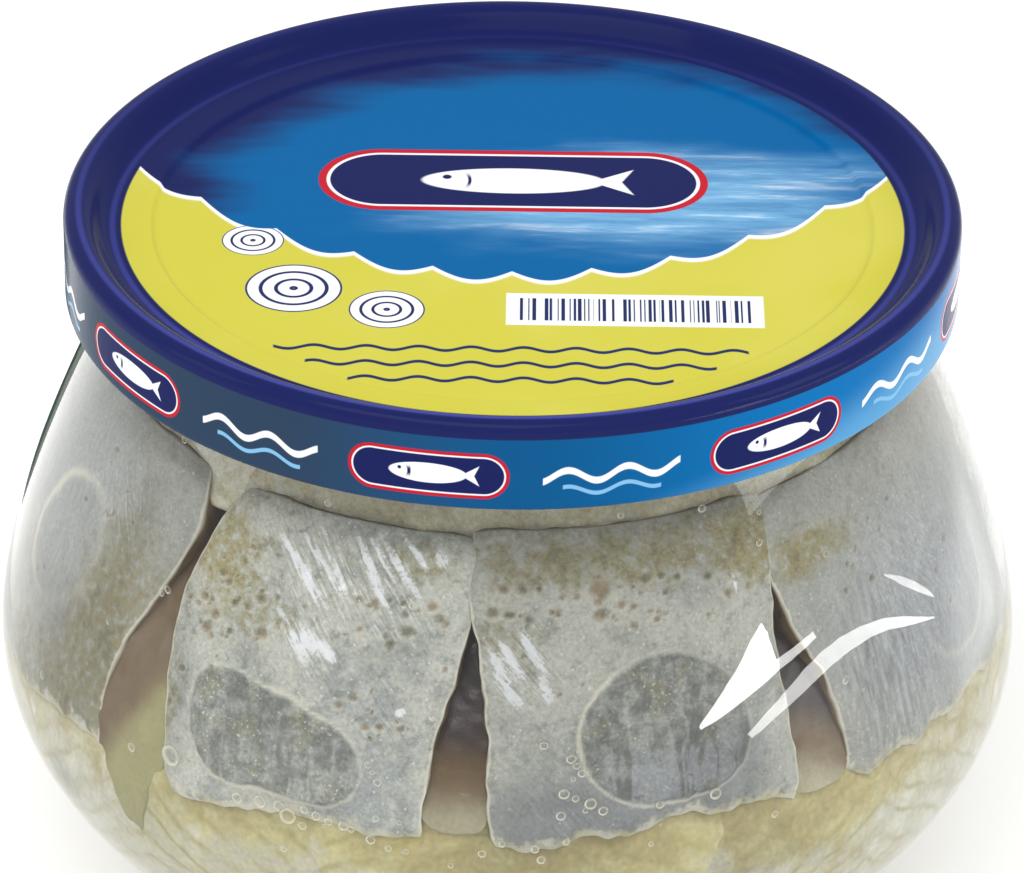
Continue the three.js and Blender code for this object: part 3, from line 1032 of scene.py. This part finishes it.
def hollowFinish():
    # The smooth flesh deep in the gaps: pale where it meets the glass, with painted shade that turns it
    # brown and then dark further up
    material, kit = newMaterial("herringHollow")
    where = millimetres(kit)
    warm, brown, dark = mark(kit, "tint").split()
    mottle = where.noise(0.5, 4.0, 0.6)
    fine = where.noise(2.5, 3.0, 0.6)
    olive = (warm + (mottle - 0.5) * 0.6).rise(0.1, 0.9)
    # painted shade: brown and then dark further up into the gaps
    base = kit.paint(hollowTones["lobe"], hollowTones["olive"], olive).layered(hollowTones, [
        ("brown", (brown + (mottle - 0.5) * 0.5).rise(0.0, 1.0)),
        ("dark", (dark + (mottle - 0.5) * 0.5).rise(0.0, 1.0)),
    ])
    return finished(material, kit, plainSurface(kit, {
        "Base Color": base.shaded(1.0 + (fine - 0.5) * 0.5), "Roughness": 0.28, "IOR": 1.4,
        "Normal": mottle.bump(0.3, 0.0004)}))


def coreFinish():
    # The heap's inside, which shows only through slits: tan low down, with painted shade that makes it brown
    # and then dark brown higher up
    material, kit = newMaterial("herringInside")
    where = millimetres(kit)
    height = where.split()[2]
    mottle = where.noise(0.35, 4.0, 0.6)
    # painted shade: brown, then dark brown, higher up
    base = kit.paint(tone(176, 166, 128), tone(104, 88, 64), (height + (mottle - 0.5) * 12).rise(26, 36))
    base = base.under(tone(56, 45, 44), (height + (mottle - 0.5) * 10).rise(38, 46))
    return finished(material, kit, plainSurface(kit, {
        "Base Color": base, "Roughness": 0.5, "IOR": 1.4, "Normal": mottle.bump(0.6, 0.0006)}))


# The shade marks of each piece are painted shade: spots darkened near the gaps and under the neck, and a
# level that darkens the whole piece
shoulderPieces = [
    {  # left, half hidden by the turn of the glass
        "azimuth": -72.5, "width": 31, "low": 58.4, "high": 90.2, "level": 73.3, "lean": 2.6, "taper": -0.06,
        "left": [-93.5, -93.5, -94.5, -96.5, -99], "right": [-53.1, -53.6, -50.2, -46.1, -47.2],
        "bottom": [-1.0, -1.2, -1.0, 0.2, 0.6], "ragged": 0.2, "wavy": 0.3,
        "patches": [{"at": (1.3, 0.7), "depth": 0.2, "rimWidth": 0.55,
                     "reach": [6.6, 7.4, 7.7, 6.6, 5.9, 5.3, 6, 7.2, 7.4, 6.6, 5.9, 5.9],
                     "rim": [0.1, 0.1, 0.3, 0.7, 0.9, 0.9, 0.9, 0.8, 0.4, 0.1, 0.1, 0.1]}],
        "warm": [(12, -2, 6.5, 12, 0, 1.0), (4, -12, 12, 5, 0, 0.65)], "coolness": 0.4, "calm": 0.5,
        "chill": [(1, 6, 11, 10, 0, 0.6)], "paintedShadeLevel": 0.5, "fibres": [(-2, 2, 12, 12, 0, 0.3)],
        "paintedShade": [(8, -9, 8, 8, 0, 0.58), (12, 3, 4, 9, 0, 0.4)], "pale": [(-14, -6, 7, 14, 0, 0.4)],
        "silver": [(9, 8, 6, 4, -60, 0.5)], "pitted": [(8, 8, 6, 5, 14), (4, -8, 8, 4, 10)],
    },
    {  # front left
        "azimuth": -26.4, "width": 28.8, "low": 60, "high": 90.0, "level": 74,
        "left": [-42.7, -43.5, -44.9, -43.7, -40.5], "right": [-9.3, -8.8, -6.8, -4.4, -4.5],
        "bottom": [-1.4, -0.3, 0.9, 0.8, 0.6], "ragged": 0.15, "wavy": 0.7,
        "patches": [{"at": (-1.1, -5.9),
                     "reach": [8.4, 5.8, 4.3, 4.4, 5.6, 9.0, 9.5, 8.8, 6.5, 5.2, 6.3, 8.7],
                     "rim": [0.5, 0.9, 1, 1, 0.9, 0.4, 0.2, 0.5, 0.9, 0.9, 0.8, 0.6]}],
        "warm": [(-10, 11, 5, 4, 20, 0.75), (-7, 5.5, 6, 3.4, 0, 0.5),
                 (10, 13, 4, 2, 0, 0.45), (-14, -8, 2, 9, 0, 0.5)],
        "cool": [(6, -2, 7, 9, 0, 0.4), (9, -10, 5, 5, 0, 0.3)], "coolness": 0.14,
        "pale": [(-3.5, -10.8, 8, 1.5, -16, 0.8)], "paintedShadeLevel": 0.08,
        "paintedShade": [(0, 15, 14, 1.6, 0, 0.25), (-13.2, -5, 2, 9, 0, 0.6)],
        "silver": [(3.5, 10.5, 9, 4.5, -20, 0.8), (0.8, 3.4, 3.6, 2.4, -45, 1.0), (9, -2, 3, 4, 0, 0.4)],
        "strokes": [
            (-1.1, 10.3, 3.6, 0.42, -45, 1), (-0.2, 9.4, 2.0, 0.5, -56, 1),
            (1.2, 10.9, 3.4, 0.3, -46, 0.9), (2.1, 11.2, 2.6, 0.3, -53, 0.9),
            (5.8, 11.3, 3.9, 0.42, -56, 1), (6.5, 12.8, 2.4, 0.3, -49, 0.9),
            (8.4, 12.1, 3.3, 0.36, -49, 0.9), (9.3, 13.9, 2.2, 0.3, -45, 0.8),
            (11.7, 13.6, 0.9, 0.6, -58, 0.7), (-0.2, 3.3, 1.7, 0.6, -50, 1),
            (0.8, 4.1, 1.6, 0.6, -49, 1), (2.2, 3.8, 1.6, 0.5, -36, 0.9),
            (2.9, 3.3, 1.1, 0.4, -43, 0.9), (-2.3, 5.8, 1.1, 0.3, -38, 0.6),
            (10.6, -1.0, 0.5, 0.4, 0, 1),
        ],
        "holes": [
            (-10.9, 4.7, 0.5), (-11.5, 3.8, 0.35), (-9.4, 3.5, 0.55), (-7.4, 5.2, 0.4),
            (-6.0, 5.3, 0.4), (-4.7, 6.5, 0.5), (-3.1, 7.1, 0.35), (-10.1, 2.0, 0.65),
            (-9.5, 1.4, 0.4), (-4.1, 3.4, 0.65), (-1.4, 5.1, 0.55), (-12.3, -2.8, 0.4),
            (-8.5, 6.8, 0.35), (4.9, 8.9, 0.35), (9.0, 9.2, 0.3), (9.4, 8.2, 0.4), (9.9, 6.7, 0.6),
            (11.7, 9.2, 0.5), (12.6, 8.2, 0.45), (13.2, 7.7, 0.35), (7.5, -2.8, 0.38),
            (8.8, -2.6, 0.42), (10.4, -1.8, 0.3),
        ],
        "pitted": [(-8, 5.5, 5, 4.5, 24), (9, 7, 5, 4, 16), (7, -3, 6, 4, 16), (-10, -4, 4, 5, 8)],
    },
    {  # front right
        "azimuth": 15.8, "width": 28.4, "low": 60.6, "high": 90.6, "level": 74.6,
        "left": [-1.4, -2.1, -2.7, -4.5, -5.5], "right": [35.2, 35.5, 35.4, 37.0, 38.2], "ragged": 0.3,
        "bottom": [-0.4, 0.2, 1.0, 1.3, 0],
        "patches": [{"at": (2.6, -3.4),
                     "reach": [8.1, 7.4, 7, 7.1, 7, 7.4, 8.1, 8.2, 7.7, 7.2, 7.9, 8.9],
                     "rim": [0.1, 0.1, 0.1, 0.3, 0.4, 0.9, 1, 1, 0.9, 0.8, 0.6, 0.3]}],
        "warm": [(0, 13, 18, 3.4, 0, 0.7), (-11, 6, 3, 3, 0, 0.4), (13, 11, 3.4, 3.4, 0, 0.9)],
        "cool": [(-7, -10, 8, 5, 0, 0.55), (7, -11, 8, 3, 0, 0.5), (9, -4, 6, 5, 0, 0.3)], "coolness": 0.1,
        "paintedShade": [(0, 13, 19, 3.2, 0, 0.32), (-7, -12, 8, 4, 0, 0.85), (8, -9, 6, 5, 0, 0.7)],
        "paintedShadeLevel": 0.45,
        "chill": [(4, -8, 8, 3.5, 0, 0.9), (-7, -12, 7, 3, 0, 0.5)], "calm": 0.15,
        "pale": [(4, 5, 9, 4, 0, 0.2)],
        "silver": [(-10.5, 3.5, 4, 3.4, -58, 0.9), (-8, -9, 5, 3, -60, 0.4)],
        "strokes": [
            (-11.3, 4.2, 1.7, 0.5, -62, 1), (-12.4, 3.6, 1.4, 0.5, -65, 0.9),
            (-9.6, 5.5, 1.4, 0.4, -69, 0.9), (-8.8, 4.2, 1.6, 0.4, -67, 1),
            (-12.0, 2.0, 1.2, 0.6, -59, 1), (-11.1, 0.3, 0.9, 0.5, -45, 1),
            (-8.3, 1.4, 1.4, 0.45, -75, 0.9), (10.5, 8.5, 1.0, 0.16, -79, 0.8),
            (-10.4, 2.6, 1.2, 0.4, -62, 0.8),
        ],
        "holes": [
            (-11.3, 10.6, 0.5), (-9.5, 10.5, 0.42), (-8.1, 10.6, 0.3), (-6.1, 9.8, 0.3),
            (-4.7, 9.8, 0.35), (-2.5, 10.3, 1.0), (-10.7, 8.3, 0.32), (-9.2, 7.8, 0.42),
            (-6.5, 8.2, 0.3), (-2.7, 7.9, 0.7), (-12.5, 8.4, 0.6), (1.8, 10.8, 0.5),
            (3.3, 10.8, 0.4), (4.8, 10.4, 0.35), (7.8, 9.8, 0.4), (1.2, 9.5, 0.3), (3.6, 9.1, 0.3),
            (7.6, 6.2, 0.25),
        ],
        "pitted": [(-3, 9, 8, 2.4, 16), (5, 8, 6, 3, 10), (-6, 0, 7, 7, 8)],
    },
    {  # right
        "azimuth": 60.6, "width": 34, "low": 60.4, "high": 90.2, "level": 73.6,
        "left": [42.6, 42.2, 39.4, 36.4, 35.5], "right": [86, 86, 87, 88, 90], "ragged": 0.35,
        "bottom": [0.2, 0, 0.2, 0, -0.6],
        "patches": [{"at": (5.4, -1.5), "depth": 0.25, "rimWidth": 0.4,
                     "reach": [7.2, 7, 6.6, 6.2, 6, 6, 6.2, 6.6, 7, 7.2, 7.4, 7.4],
                     "rim": [0.2, 0.1, 0.1, 0.1, 0.1, 0.1, 0.1, 0.2, 0.3, 0.35, 0.35, 0.3]}],
        "warm": [(-14, 9.6, 3.2, 2.6, 10, 0.9), (-9.4, 10.4, 3.4, 2.2, -8, 0.8), (6, 13, 8, 3, 0, 0.3)],
        "cool": [(0, -4, 12, 7, 0, 0.6)], "coolness": 0.25,
        "paintedShade": [(-8, -4, 7, 8, 0, 0.25)], "paintedShadeLevel": 0.55, "calm": 0.5, "chill": [(2, -1, 15, 11, 0, 1.0)],
        "fibres": [(-8, -5, 6, 9, 0, 1.0), (3, 0, 12, 12, 0, 0.3)],
        "silver": [(2, 2, 9, 6, -50, 0.45)], "pitted": [(-6, 8, 7, 4, 14), (4, 0, 8, 6, 10)],
    },
    {"azimuth": 105.4, "width": 35, "low": 60, "high": 89.8, "lean": 1.8, "taper": 0.03},
    {"azimuth": 149.6, "width": 28.8, "low": 58.6, "high": 90.2, "lean": -1.4, "taper": 0.05},
    {"azimuth": 194.2, "width": 30.2, "low": 59.8, "high": 90, "lean": 1.2, "taper": 0.02},
    {"azimuth": 239, "width": 29.4, "low": 59.2, "high": 90.2, "lean": -1.8, "taper": 0.05},
]
bellyPieces = [
    {"azimuth": -92, "width": 40, "low": 25.4, "high": 61.6, "lean": -1.5, "taper": -0.02,
     "paintedShadeLevel": 0.12, "pale": [(4, 10, 20, 14, 0, 0.7)]},
    {"azimuth": -46, "width": 41, "low": 24.8, "high": 62.6, "lean": 1.5, "taper": -0.03, "paintedShadeLevel": 0.2,
     "pale": [(-9, 9, 7, 9, 0, 0.8)], "paintedShade": [(-14, 7, 3.5, 3.5, 0, 0.5), (2, 12, 4, 7, 0, 0.2)]},
    {"azimuth": 1, "width": 42.4, "low": 25.2, "high": 63, "lean": -1, "taper": -0.02, "paintedShadeLevel": 0.12,
     "warm": [(3, 15, 12, 6, 0, 0.8)], "paintedShade": [(3, 16, 11, 5, 0, 0.55)]},
    {"azimuth": 48, "width": 41.6, "low": 24.6, "high": 63.2, "lean": 2, "taper": -0.04, "paintedShadeLevel": 0.2,
     "warm": [(-9, 15, 9, 4, 0, 0.6)], "paintedShade": [(-15, 12, 6, 7, 0, 0.4)], "pale": [(11, 9, 9, 12, 0, 0.7)]},
    {"azimuth": 95, "width": 41.5, "low": 25.6, "high": 62.6, "lean": -2, "taper": -0.02, "paintedShadeLevel": 0.12,
     "pale": [(-8, 8, 14, 14, 0, 0.7)]},
    {"azimuth": 143, "width": 42, "low": 24.8, "high": 62.4, "lean": 1, "taper": -0.03},
    {"azimuth": 191, "width": 41.5, "low": 25.2, "high": 64.6, "lean": -1.5, "taper": -0.02},
    {"azimuth": 229, "width": 28, "low": 25, "high": 62.8, "lean": 1, "taper": -0.03},
]
neckPieces = [
    {"azimuth": -62, "width": 44, "low": 86.6, "high": 95, "lean": 1, "taper": 0},
    {"azimuth": 2, "width": 43, "low": 86.8, "high": 95.4, "lean": -1, "taper": 0},
    {"azimuth": 68, "width": 44, "low": 86.4, "high": 94.8, "lean": 1, "taper": 0},
    {"azimuth": 136, "width": 45, "low": 86.8, "high": 95.2, "lean": 0, "taper": 0},
    {"azimuth": 205, "width": 45, "low": 86.4, "high": 95, "lean": 1, "taper": 0},
    {"azimuth": 262, "width": 32, "low": 86.6, "high": 94.8, "lean": 0, "taper": 0},
]


def unseenLook(piece, seed):
    # A seeded look for the pieces at the back, of the same kinds of marks as the ones in front
    draw = np.random.default_rng(seed)
    x, y = draw.uniform(-3, 3), draw.uniform(-6, 0)
    reach = list(draw.uniform(6.4, 8.2, 12))
    piece.update(
        patches=[{"at": (x, y), "reach": reach, "rim": list(draw.uniform(0.2, 1, 12))}],
        warm=[(draw.uniform(-10, 10), 11, 8, 4, 0, 0.8)],
        cool=[(draw.uniform(-8, 8), -9, 8, 5, 0, 0.6)],
        coolness=draw.uniform(0.1, 0.35),
        silver=[(draw.uniform(-8, 8), draw.uniform(4, 10), 6, 3, -60, 0.9)],
        strokes=[
            (x + draw.normal(0, 4), draw.uniform(4, 12), draw.uniform(1, 3.4), 0.4, -55, 0.9)
            for _ in range(12)
        ],
        pitted=[(draw.uniform(-8, 8), draw.uniform(4, 9), 7, 4, 34), (x, y, 10, 8, 14)],
    )
    return piece


hollowPieces = [
    {  # long leaf between the left and the front left piece
        "azimuth": -49, "width": 10, "low": 50, "high": 86.5, "level": 66, "warmth": 0.85,
        "left": [-48.3, -53.8, -56.5, -52.4, -48.5], "right": [-46, -43.6, -41.2, -40.8, -40.5],
        "gapShade": (58.5, 68, 72, 82, -1.7), "sink": 2.6, "sinkPower": 3.0, "behind": 0.62,
    },
    {  # bullet between the two front pieces
        "azimuth": -5.4, "width": 8, "low": 61.7, "high": 85, "level": 73, "warmth": 0.2,
        "left": [-10.6, -11.4, -10.6, -8.4, -7], "right": [-0.2, 0, -0.2, -2, -3],
        "gapShade": (61.5, 67.5, 65.5, 73, 0), "sink": 4.6, "sinkPower": 0.9, "behind": 0.5,
    },
    {  # leaf between the front right and the right piece
        "azimuth": 38.4, "width": 8.5, "low": 60.8, "high": 84, "level": 72, "warmth": 0.3,
        "left": [33, 32.4, 32.2, 34, 35], "right": [44.4, 44.6, 42.8, 40, 39],
        "gapShade": (60.5, 66, 64, 71.5, 0.5), "sink": 4.2, "sinkPower": 0.9, "behind": 0.4,
    },
]
skins = [skinFinish(k) for k in range(4)]
fleshes = [fleshFinish(k) for k in range(3)]
hollow = hollowFinish()
fleshShared = {"ragged": 0.3, "behind": 0.9, "coarse": 2, "edgePower": 8}
hollowShared = {"cornerCut": 0.2, "edgePower": 5, "crown": 0.3, "ragged": 0.05, "thickness": 8}
neckShared = {
    "warmth": 0.78, "ragged": 0.1, "behind": 1.2, "coarse": 1.5, "calm": 0.3,
    "pale": [(0, 2, 40, 9, 0, 0.55)], "silver": [(0, 0, 20, 3, 0, 0.15)],
}
for k, piece in enumerate(shoulderPieces):
    if "coolness" not in piece:
        piece = unseenLook(piece, 40 + k)
    standingFillet("skin_piece_" + str(k + 1), piece, 100 + k * 17, skins[k % 4])
for k, piece in enumerate(bellyPieces):
    warmTop = [(0, 18, 30, 5, 0, 1.0), *piece.get("warm", ())]
    piece = {**piece, **fleshShared, "warm": warmTop}
    standingFillet("flesh_piece_" + str(k + 1), piece, 300 + k * 13, fleshes[k % 3])
for k, piece in enumerate(hollowPieces):
    standingFillet("hollow_piece_" + str(k + 1), {**piece, **hollowShared}, 700 + k * 19, hollow)
for k, piece in enumerate(neckPieces):
    standingFillet("neck_piece_" + str(k + 1), {**piece, **neckShared}, 500 + k * 11, skins[(k + 1) % 4])
print("fish pieces made")

core = np.array(besideWall(np.linspace(*fish["coreLine"]), fish["coreInset"])).T
lowest = besideWall(0.0, fish["coreInset"])[1]
under = [[0, lowest], [core[0, 0] * 0.6, lowest + 0.05]]
over = [[core[-1, 0], fish["top"]], [0, fish["top"]]]
coreOutline = np.concatenate([under, core, over])
points, faces = turned(coreOutline, fish["coreSteps"])
around = np.degrees(np.arctan2(points[:, 0], -points[:, 1]))
bulge = fish["coreBulge"] * ripple(around * 0.7, points[:, 2], 8, 7, 3)
points[:, :2] *= (1 + bulge / fish["coreRadius"])[:, None]
part(addPiece("inner_pieces", points, faces, [coreFinish()]), "herring_pieces")
print("core made")


# The air bubbles on the glass
bubbles = {
    # azimuth, distance up the wall, radius
    "seen": [
        (-41.1, 62.7, 0.9), (-31.4, 61.3, 0.5), (-28.5, 61.7, 0.55), (-26.1, 61.8, 0.5),
        (-24.9, 61.1, 0.7), (-23.0, 62.1, 0.35), (-21.5, 61.8, 0.4), (-20.0, 61.5, 0.35),
        (-18.2, 61.4, 0.42), (-17.3, 61.2, 0.3), (-15.0, 60.5, 0.4), (-12.9, 59.9, 0.3),
        (-10.9, 59.8, 0.25), (-15.9, 67.7, 0.3), (-14.6, 66.2, 0.35), (-15.3, 67.1, 0.22),
        (-47.0, 77.5, 0.35), (-47.8, 76.9, 0.3), (7.6, 69.3, 0.42), (8.2, 68.6, 0.3),
        (8.8, 67.9, 0.35), (6.7, 66.0, 0.45), (8.0, 65.5, 0.3), (9.7, 64.9, 0.5), (11.1, 64.1, 0.4),
        (9.1, 64.3, 0.25), (24.4, 64.0, 0.5), (17.7, 64.0, 0.35), (7.8, 67.4, 0.22),
        (6.3, 63.9, 0.4), (3.4, 60.7, 0.35), (6.9, 61.3, 0.3), (15.9, 91.4, 0.3),
        (27.9, 90.6, 0.35), (-26.1, 90.9, 0.3),
    ],
    "swell": 1.25,  # of every radius
    "strays": 110,
    "strayLevels": [59.5, 61, 64, 70, 84, 90.5],  # distances up the wall
    "strayRadius": (0.12, 0.42),
    "depth": 0.3,
    "flatness": 0.28,
    "rings": 10,
    "sides": 20,
}


def bubbleFinish():
    # Clear in the middle, with the bright rim and the thin dark outline that an air bubble shows in oil,
    # both painted: a painted highlight on the rim, stronger on its lower side, and a painted dark edge
    material, kit = newMaterial("airBubble")
    x, y, out = mark(kit, "ring").split()
    # painted highlight on the rim, stronger towards the lower side, and a painted dark outline
    glossy = (x * -0.6 + y * -0.8).rise(-0.9, 0.8)
    ring = out.rise(0.58, 0.78) * (glossy * 0.7 + 0.3)
    tint = kit.paint(tone(224, 222, 206), tone(118, 118, 100), out.rise(0.9, 0.98))
    rim = plainSurface(kit, {"Base Color": tint, "Roughness": 0.12, "IOR": 1.5})
    clear = kit.node("BsdfTransparent", None, {"Color": (1, 1, 1, 1)})
    return finished(material, kit, kit.node("MixShader", None, {0: ring * 0.62 + 0.03, 1: clear, 2: rim}))


def ballField(centres, radii, rings, sides, flatness):
    # Unit balls of rings and sides, each scaled, flattened along the jar's radius and moved to its centre
    polar = np.linspace(0, np.pi, rings + 1)
    outline = np.stack([np.sin(polar), -np.cos(polar)], 1)
    ball, faces = turned(outline, sides)
    outward = centres * [1, 1, 0]
    outward = outward / np.linalg.norm(outward, axis=1)[:, None]
    sideways = np.stack([-outward[:, 1], outward[:, 0], np.zeros(len(centres))], 1)
    up = np.array([0, 0, 1.0])
    moved = (
        ball[None, :, 1:2] * outward[:, None] * flatness
        + ball[None, :, 0:1] * sideways[:, None]
        + ball[None, :, 2:3] * up
    ) * radii[:, None, None] + centres[:, None]
    step = np.arange(len(centres))[:, None, None] * len(ball)
    everyFace = np.where(faces[None] < 0, -1, faces[None] + step).reshape(-1, 4)
    seenFrom = np.stack([ball[:, 0], ball[:, 2], np.hypot(ball[:, 0], ball[:, 2])], 1)
    return moved.reshape(-1, 3), everyFace, np.tile(seenFrom, (len(centres), 1))


draw = np.random.default_rng(11)
seen = np.array(bubbles["seen"])
count = bubbles["strays"]
strays = np.stack([
    draw.uniform(-180, 180, count),
    draw.choice(bubbles["strayLevels"], count) + draw.normal(0, 1.2, count),
    draw.uniform(*bubbles["strayRadius"], count),
], 1)
placed = np.concatenate([seen, strays]) * [1, 1, bubbles["swell"]]
r, z = besideWall(placed[:, 1], bubbles["depth"])
turn = np.radians(placed[:, 0])
centres = np.stack([r * np.sin(turn), -r * np.cos(turn), z], 1)
grid = (bubbles["rings"], bubbles["sides"])
points, faces, ring = ballField(centres, placed[:, 2], *grid, bubbles["flatness"])
part(addPiece("air_bubbles", points, faces, [bubbleFinish()], None, {"ring": ring}))
print("bubbles made", len(placed))


# The floor, the lights and the camera
studio = {
    "floorRadius": 2500,
    "floorTone": (0.95, 0.95, 0.95, 1),
    "floorLift": 0.16,
    "sky": (1.0, 1.0, 1.0, 1),
    "skyStrength": 0.72,
    "softBoxes": [  # azimuth, elevation, distance, width, height, power in watts
        {"name": "overhead", "at": (-25, 62, 900), "size": (700, 500), "power": 3.2},
        {"name": "right", "at": (75, 28, 900), "size": (400, 500), "power": 1.8},
        {"name": "left", "at": (-80, 25, 900), "size": (300, 500), "power": 0.8},
    ],
    "lampAim": 40,
    "cardRadius": 170,
    "cards": [  # bright shapes that the glass mirrors on its right, as (azimuth, height) corners
        {"name": "card_window", "glow": 20, "corners": [
            (53.6, 58.8), (54.5, 55.4), (54.8, 51.7), (55.2, 47.7), (55.4, 44.7), (47.5, 42.9),
            (40.1, 40.6), (37.1, 40.1), (37.0, 41.4), (40.4, 45.5), (43.7, 49.3), (47.7, 53.2),
            (50.3, 56.5)]},
        {"name": "card_bar", "glow": 14, "corners": [
            (55.2, 47.7), (64.7, 46.7), (65.3, 44.6), (55.4, 44.7)]},
        {"name": "card_table", "glow": 12, "corners": [
            (46.4, 32.3), (50.9, 35.7), (55.6, 38.0), (60.6, 40.0), (65.8, 40.4), (71.0, 39.0),
            (76.2, 36.1), (82.6, 31.0), (88.6, 24.2), (94.0, 17.0), (98.8, 10.4), (91.2, 18.6),
            (83.8, 26.5), (78.4, 30.8), (73.0, 33.4), (67.7, 34.8), (62.6, 34.7), (57.7, 33.9),
            (53.1, 32.7), (47.4, 30.2)]},
        {"name": "card_high", "glow": 8, "corners": [
            (86.5, 37.8), (91.1, 31.5), (95.1, 24.9), (98.5, 18.2), (99.9, 14.2), (98.5, 16.4),
            (95.3, 21.8), (91.8, 27.8), (88.6, 33.6), (86.8, 36.7)]},
    ],
    "flagRadius": 88,
    "flags": [  # dark greenish shapes that give the glass its edge line
        {"name": "flag_edge", "glow": 1.0, "corners": [
            (-142, 6), (-142, 48), (-129, 48), (-130.5, 30), (-130, 14), (-131, 6)]},
    ],
    "flagTone": (0.07, 0.12, 0.11, 1),
    "softRadius": 90,
    "softGrid": (17, 25),
    "softCards": [  # faint wide glows: azimuths, heights, how far each side fades, and the glow
        {"name": "card_left", "glow": 0.65,
         "azimuths": (-150, -100), "heights": (1, 70), "fades": (4, 28, 1, 25)},
        {"name": "card_glare", "glow": 1.1,
         "azimuths": (86, 118), "heights": (6, 36), "fades": (10, 10, 8, 10)},
        {"name": "card_right", "glow": 0.45,
         "azimuths": (96, 150), "heights": (1, 60), "fades": (30, 4, 1, 25)},
    ],
}


def onCylinder(azimuth, height, radius):
    # The sine and minus the cosine of the azimuth, times the radius, in metres
    turn = math.radians(azimuth)
    return (radius * math.sin(turn) * mm, -radius * math.cos(turn) * mm, height * mm)


def softBox(box):
    # An area lamp at its azimuth, elevation and distance, which faces the middle of the jar
    azimuth, elevation, distance = box["at"]
    light = bpy.data.lights.new(box["name"], "AREA")
    light.shape = "RECTANGLE"
    light.size, light.size_y = (s * mm for s in box["size"])
    light.energy = box["power"]
    lamp = bpy.data.objects.new(box["name"], light)
    turn, lift = math.radians(azimuth), math.radians(elevation)
    back = Vector((math.sin(turn) * math.cos(lift), -math.cos(turn) * math.cos(lift), math.sin(lift)))
    lamp.location = back * distance * mm + Vector((0, 0, studio["lampAim"] * mm))
    lamp.rotation_mode = "QUATERNION"
    lamp.rotation_quaternion = (-back).to_track_quat("-Z", "Y")
    bpy.context.scene.collection.objects.link(lamp)


def stageMesh(name, corners, faces, material):
    # A shape that only mirrored light meets
    mesh = bpy.data.meshes.new(name)
    mesh.from_pydata(corners, [], faces)
    mesh.materials.append(material)
    made = bpy.data.objects.new(name, mesh)
    made.visible_camera = made.visible_diffuse = made.visible_shadow = made.visible_transmission = False
    bpy.context.scene.collection.objects.link(made)
    return mesh


def lightCard(card, radius, colour=(1, 1, 1, 1)):
    # A glowing shape whose corners stand on a cylinder round the jar
    material, kit = newMaterial(card["name"])
    finished(material, kit, kit.node("Emission", None, {"Color": colour, "Strength": card["glow"]}))
    corners = [onCylinder(a, h, radius) for a, h in card["corners"]]
    stageMesh(card["name"], corners, [list(range(len(corners)))], material)


def softCard(card):
    # Its glow is the product of an eased rise from each of its four sides
    material, kit = newMaterial(card["name"])
    lit = kit.node("Attribute", {"attribute_name": "glow"}, None, "Fac")
    colour = kit.paint((0, 0, 0, 1), (1, 1, 1, 1), lit)
    glow = kit.node("Emission", None, {"Color": colour, "Strength": card["glow"]})
    clear = kit.node("BsdfTransparent", None, {"Color": (1, 1, 1, 1)})
    finished(material, kit, kit.node("AddShader", None, {0: clear, 1: glow}))
    levels, ends, (rows, columns) = card["heights"], card["azimuths"], studio["softGrid"]
    height, azimuth = np.meshgrid(np.linspace(*levels, rows), np.linspace(*ends, columns), indexing="ij")
    corners = [onCylinder(a, h, studio["softRadius"]) for a, h in zip(azimuth.ravel(), height.ravel())]
    mesh = stageMesh(card["name"], corners, gridFaces(rows, columns).tolist(), material)
    near, far, low, high = card["fades"]
    lit = ease(0, near, azimuth - ends[0]) * ease(0, far, ends[1] - azimuth)
    lit = lit * ease(0, low, height - levels[0] + 0.5) * ease(0, high, levels[1] - height)
    layer = mesh.attributes.new("glow", "FLOAT", "POINT")
    layer.data.foreach_set("value", lit.astype(np.float32).ravel())


floorMaterial, kit = newMaterial("studioFloor")
finished(floorMaterial, kit, plainSurface(kit, {
    "Base Color": studio["floorTone"], "Roughness": 1.0, "Specular IOR Level": 0.0,
    "Emission Color": (1, 1, 1, 1), "Emission Strength": studio["floorLift"]}))
floorEdge = [onCylinder(azimuth, 0, studio["floorRadius"]) for azimuth in np.arange(0, 360, 3.75)]
floorMesh = bpy.data.meshes.new("studio_floor")
floorMesh.from_pydata(floorEdge, [], [list(range(len(floorEdge)))])
floorMesh.materials.append(floorMaterial)
floor = bpy.data.objects.new("studio_floor", floorMesh)
bpy.context.scene.collection.objects.link(floor)
for box in studio["softBoxes"]:
    softBox(box)
for card in studio["cards"]:
    lightCard(card, studio["cardRadius"])
for card in studio["softCards"]:
    softCard(card)
for flag in studio["flags"]:
    lightCard(flag, studio["flagRadius"], studio["flagTone"])

scene = bpy.context.scene
world = bpy.data.worlds.new("studioSky")
world.use_nodes = True
background = world.node_tree.nodes["Background"]
background.inputs["Color"].default_value = studio["sky"]
background.inputs["Strength"].default_value = studio["skyStrength"]
scene.world = world
scene.view_settings.view_transform = "Standard"

cameraPlace = {
    "aim": (0.2065, 0, 46.41),
    "distance": 608.85,
    "elevation": 30.52,
    "lens": 220.0,
    "roll": 0.7745,  # the picture's right side lies a little lower
}
lift = math.radians(cameraPlace["elevation"])
back = Vector((0, -math.cos(lift), math.sin(lift)))
view = bpy.data.cameras.new("photoView")
view.lens = cameraPlace["lens"]
view.sensor_width = 36
view.clip_start, view.clip_end = 0.05, 10
camera = bpy.data.objects.new("photoView", view)
camera.location = Vector(cameraPlace["aim"]) * mm + back * cameraPlace["distance"] * mm
camera.rotation_mode = "QUATERNION"
roll = Quaternion((0, 0, 1), math.radians(cameraPlace["roll"]))
camera.rotation_quaternion = (-back).to_track_quat("-Z", "Y") @ roll
scene.collection.objects.link(camera)
scene.camera = camera
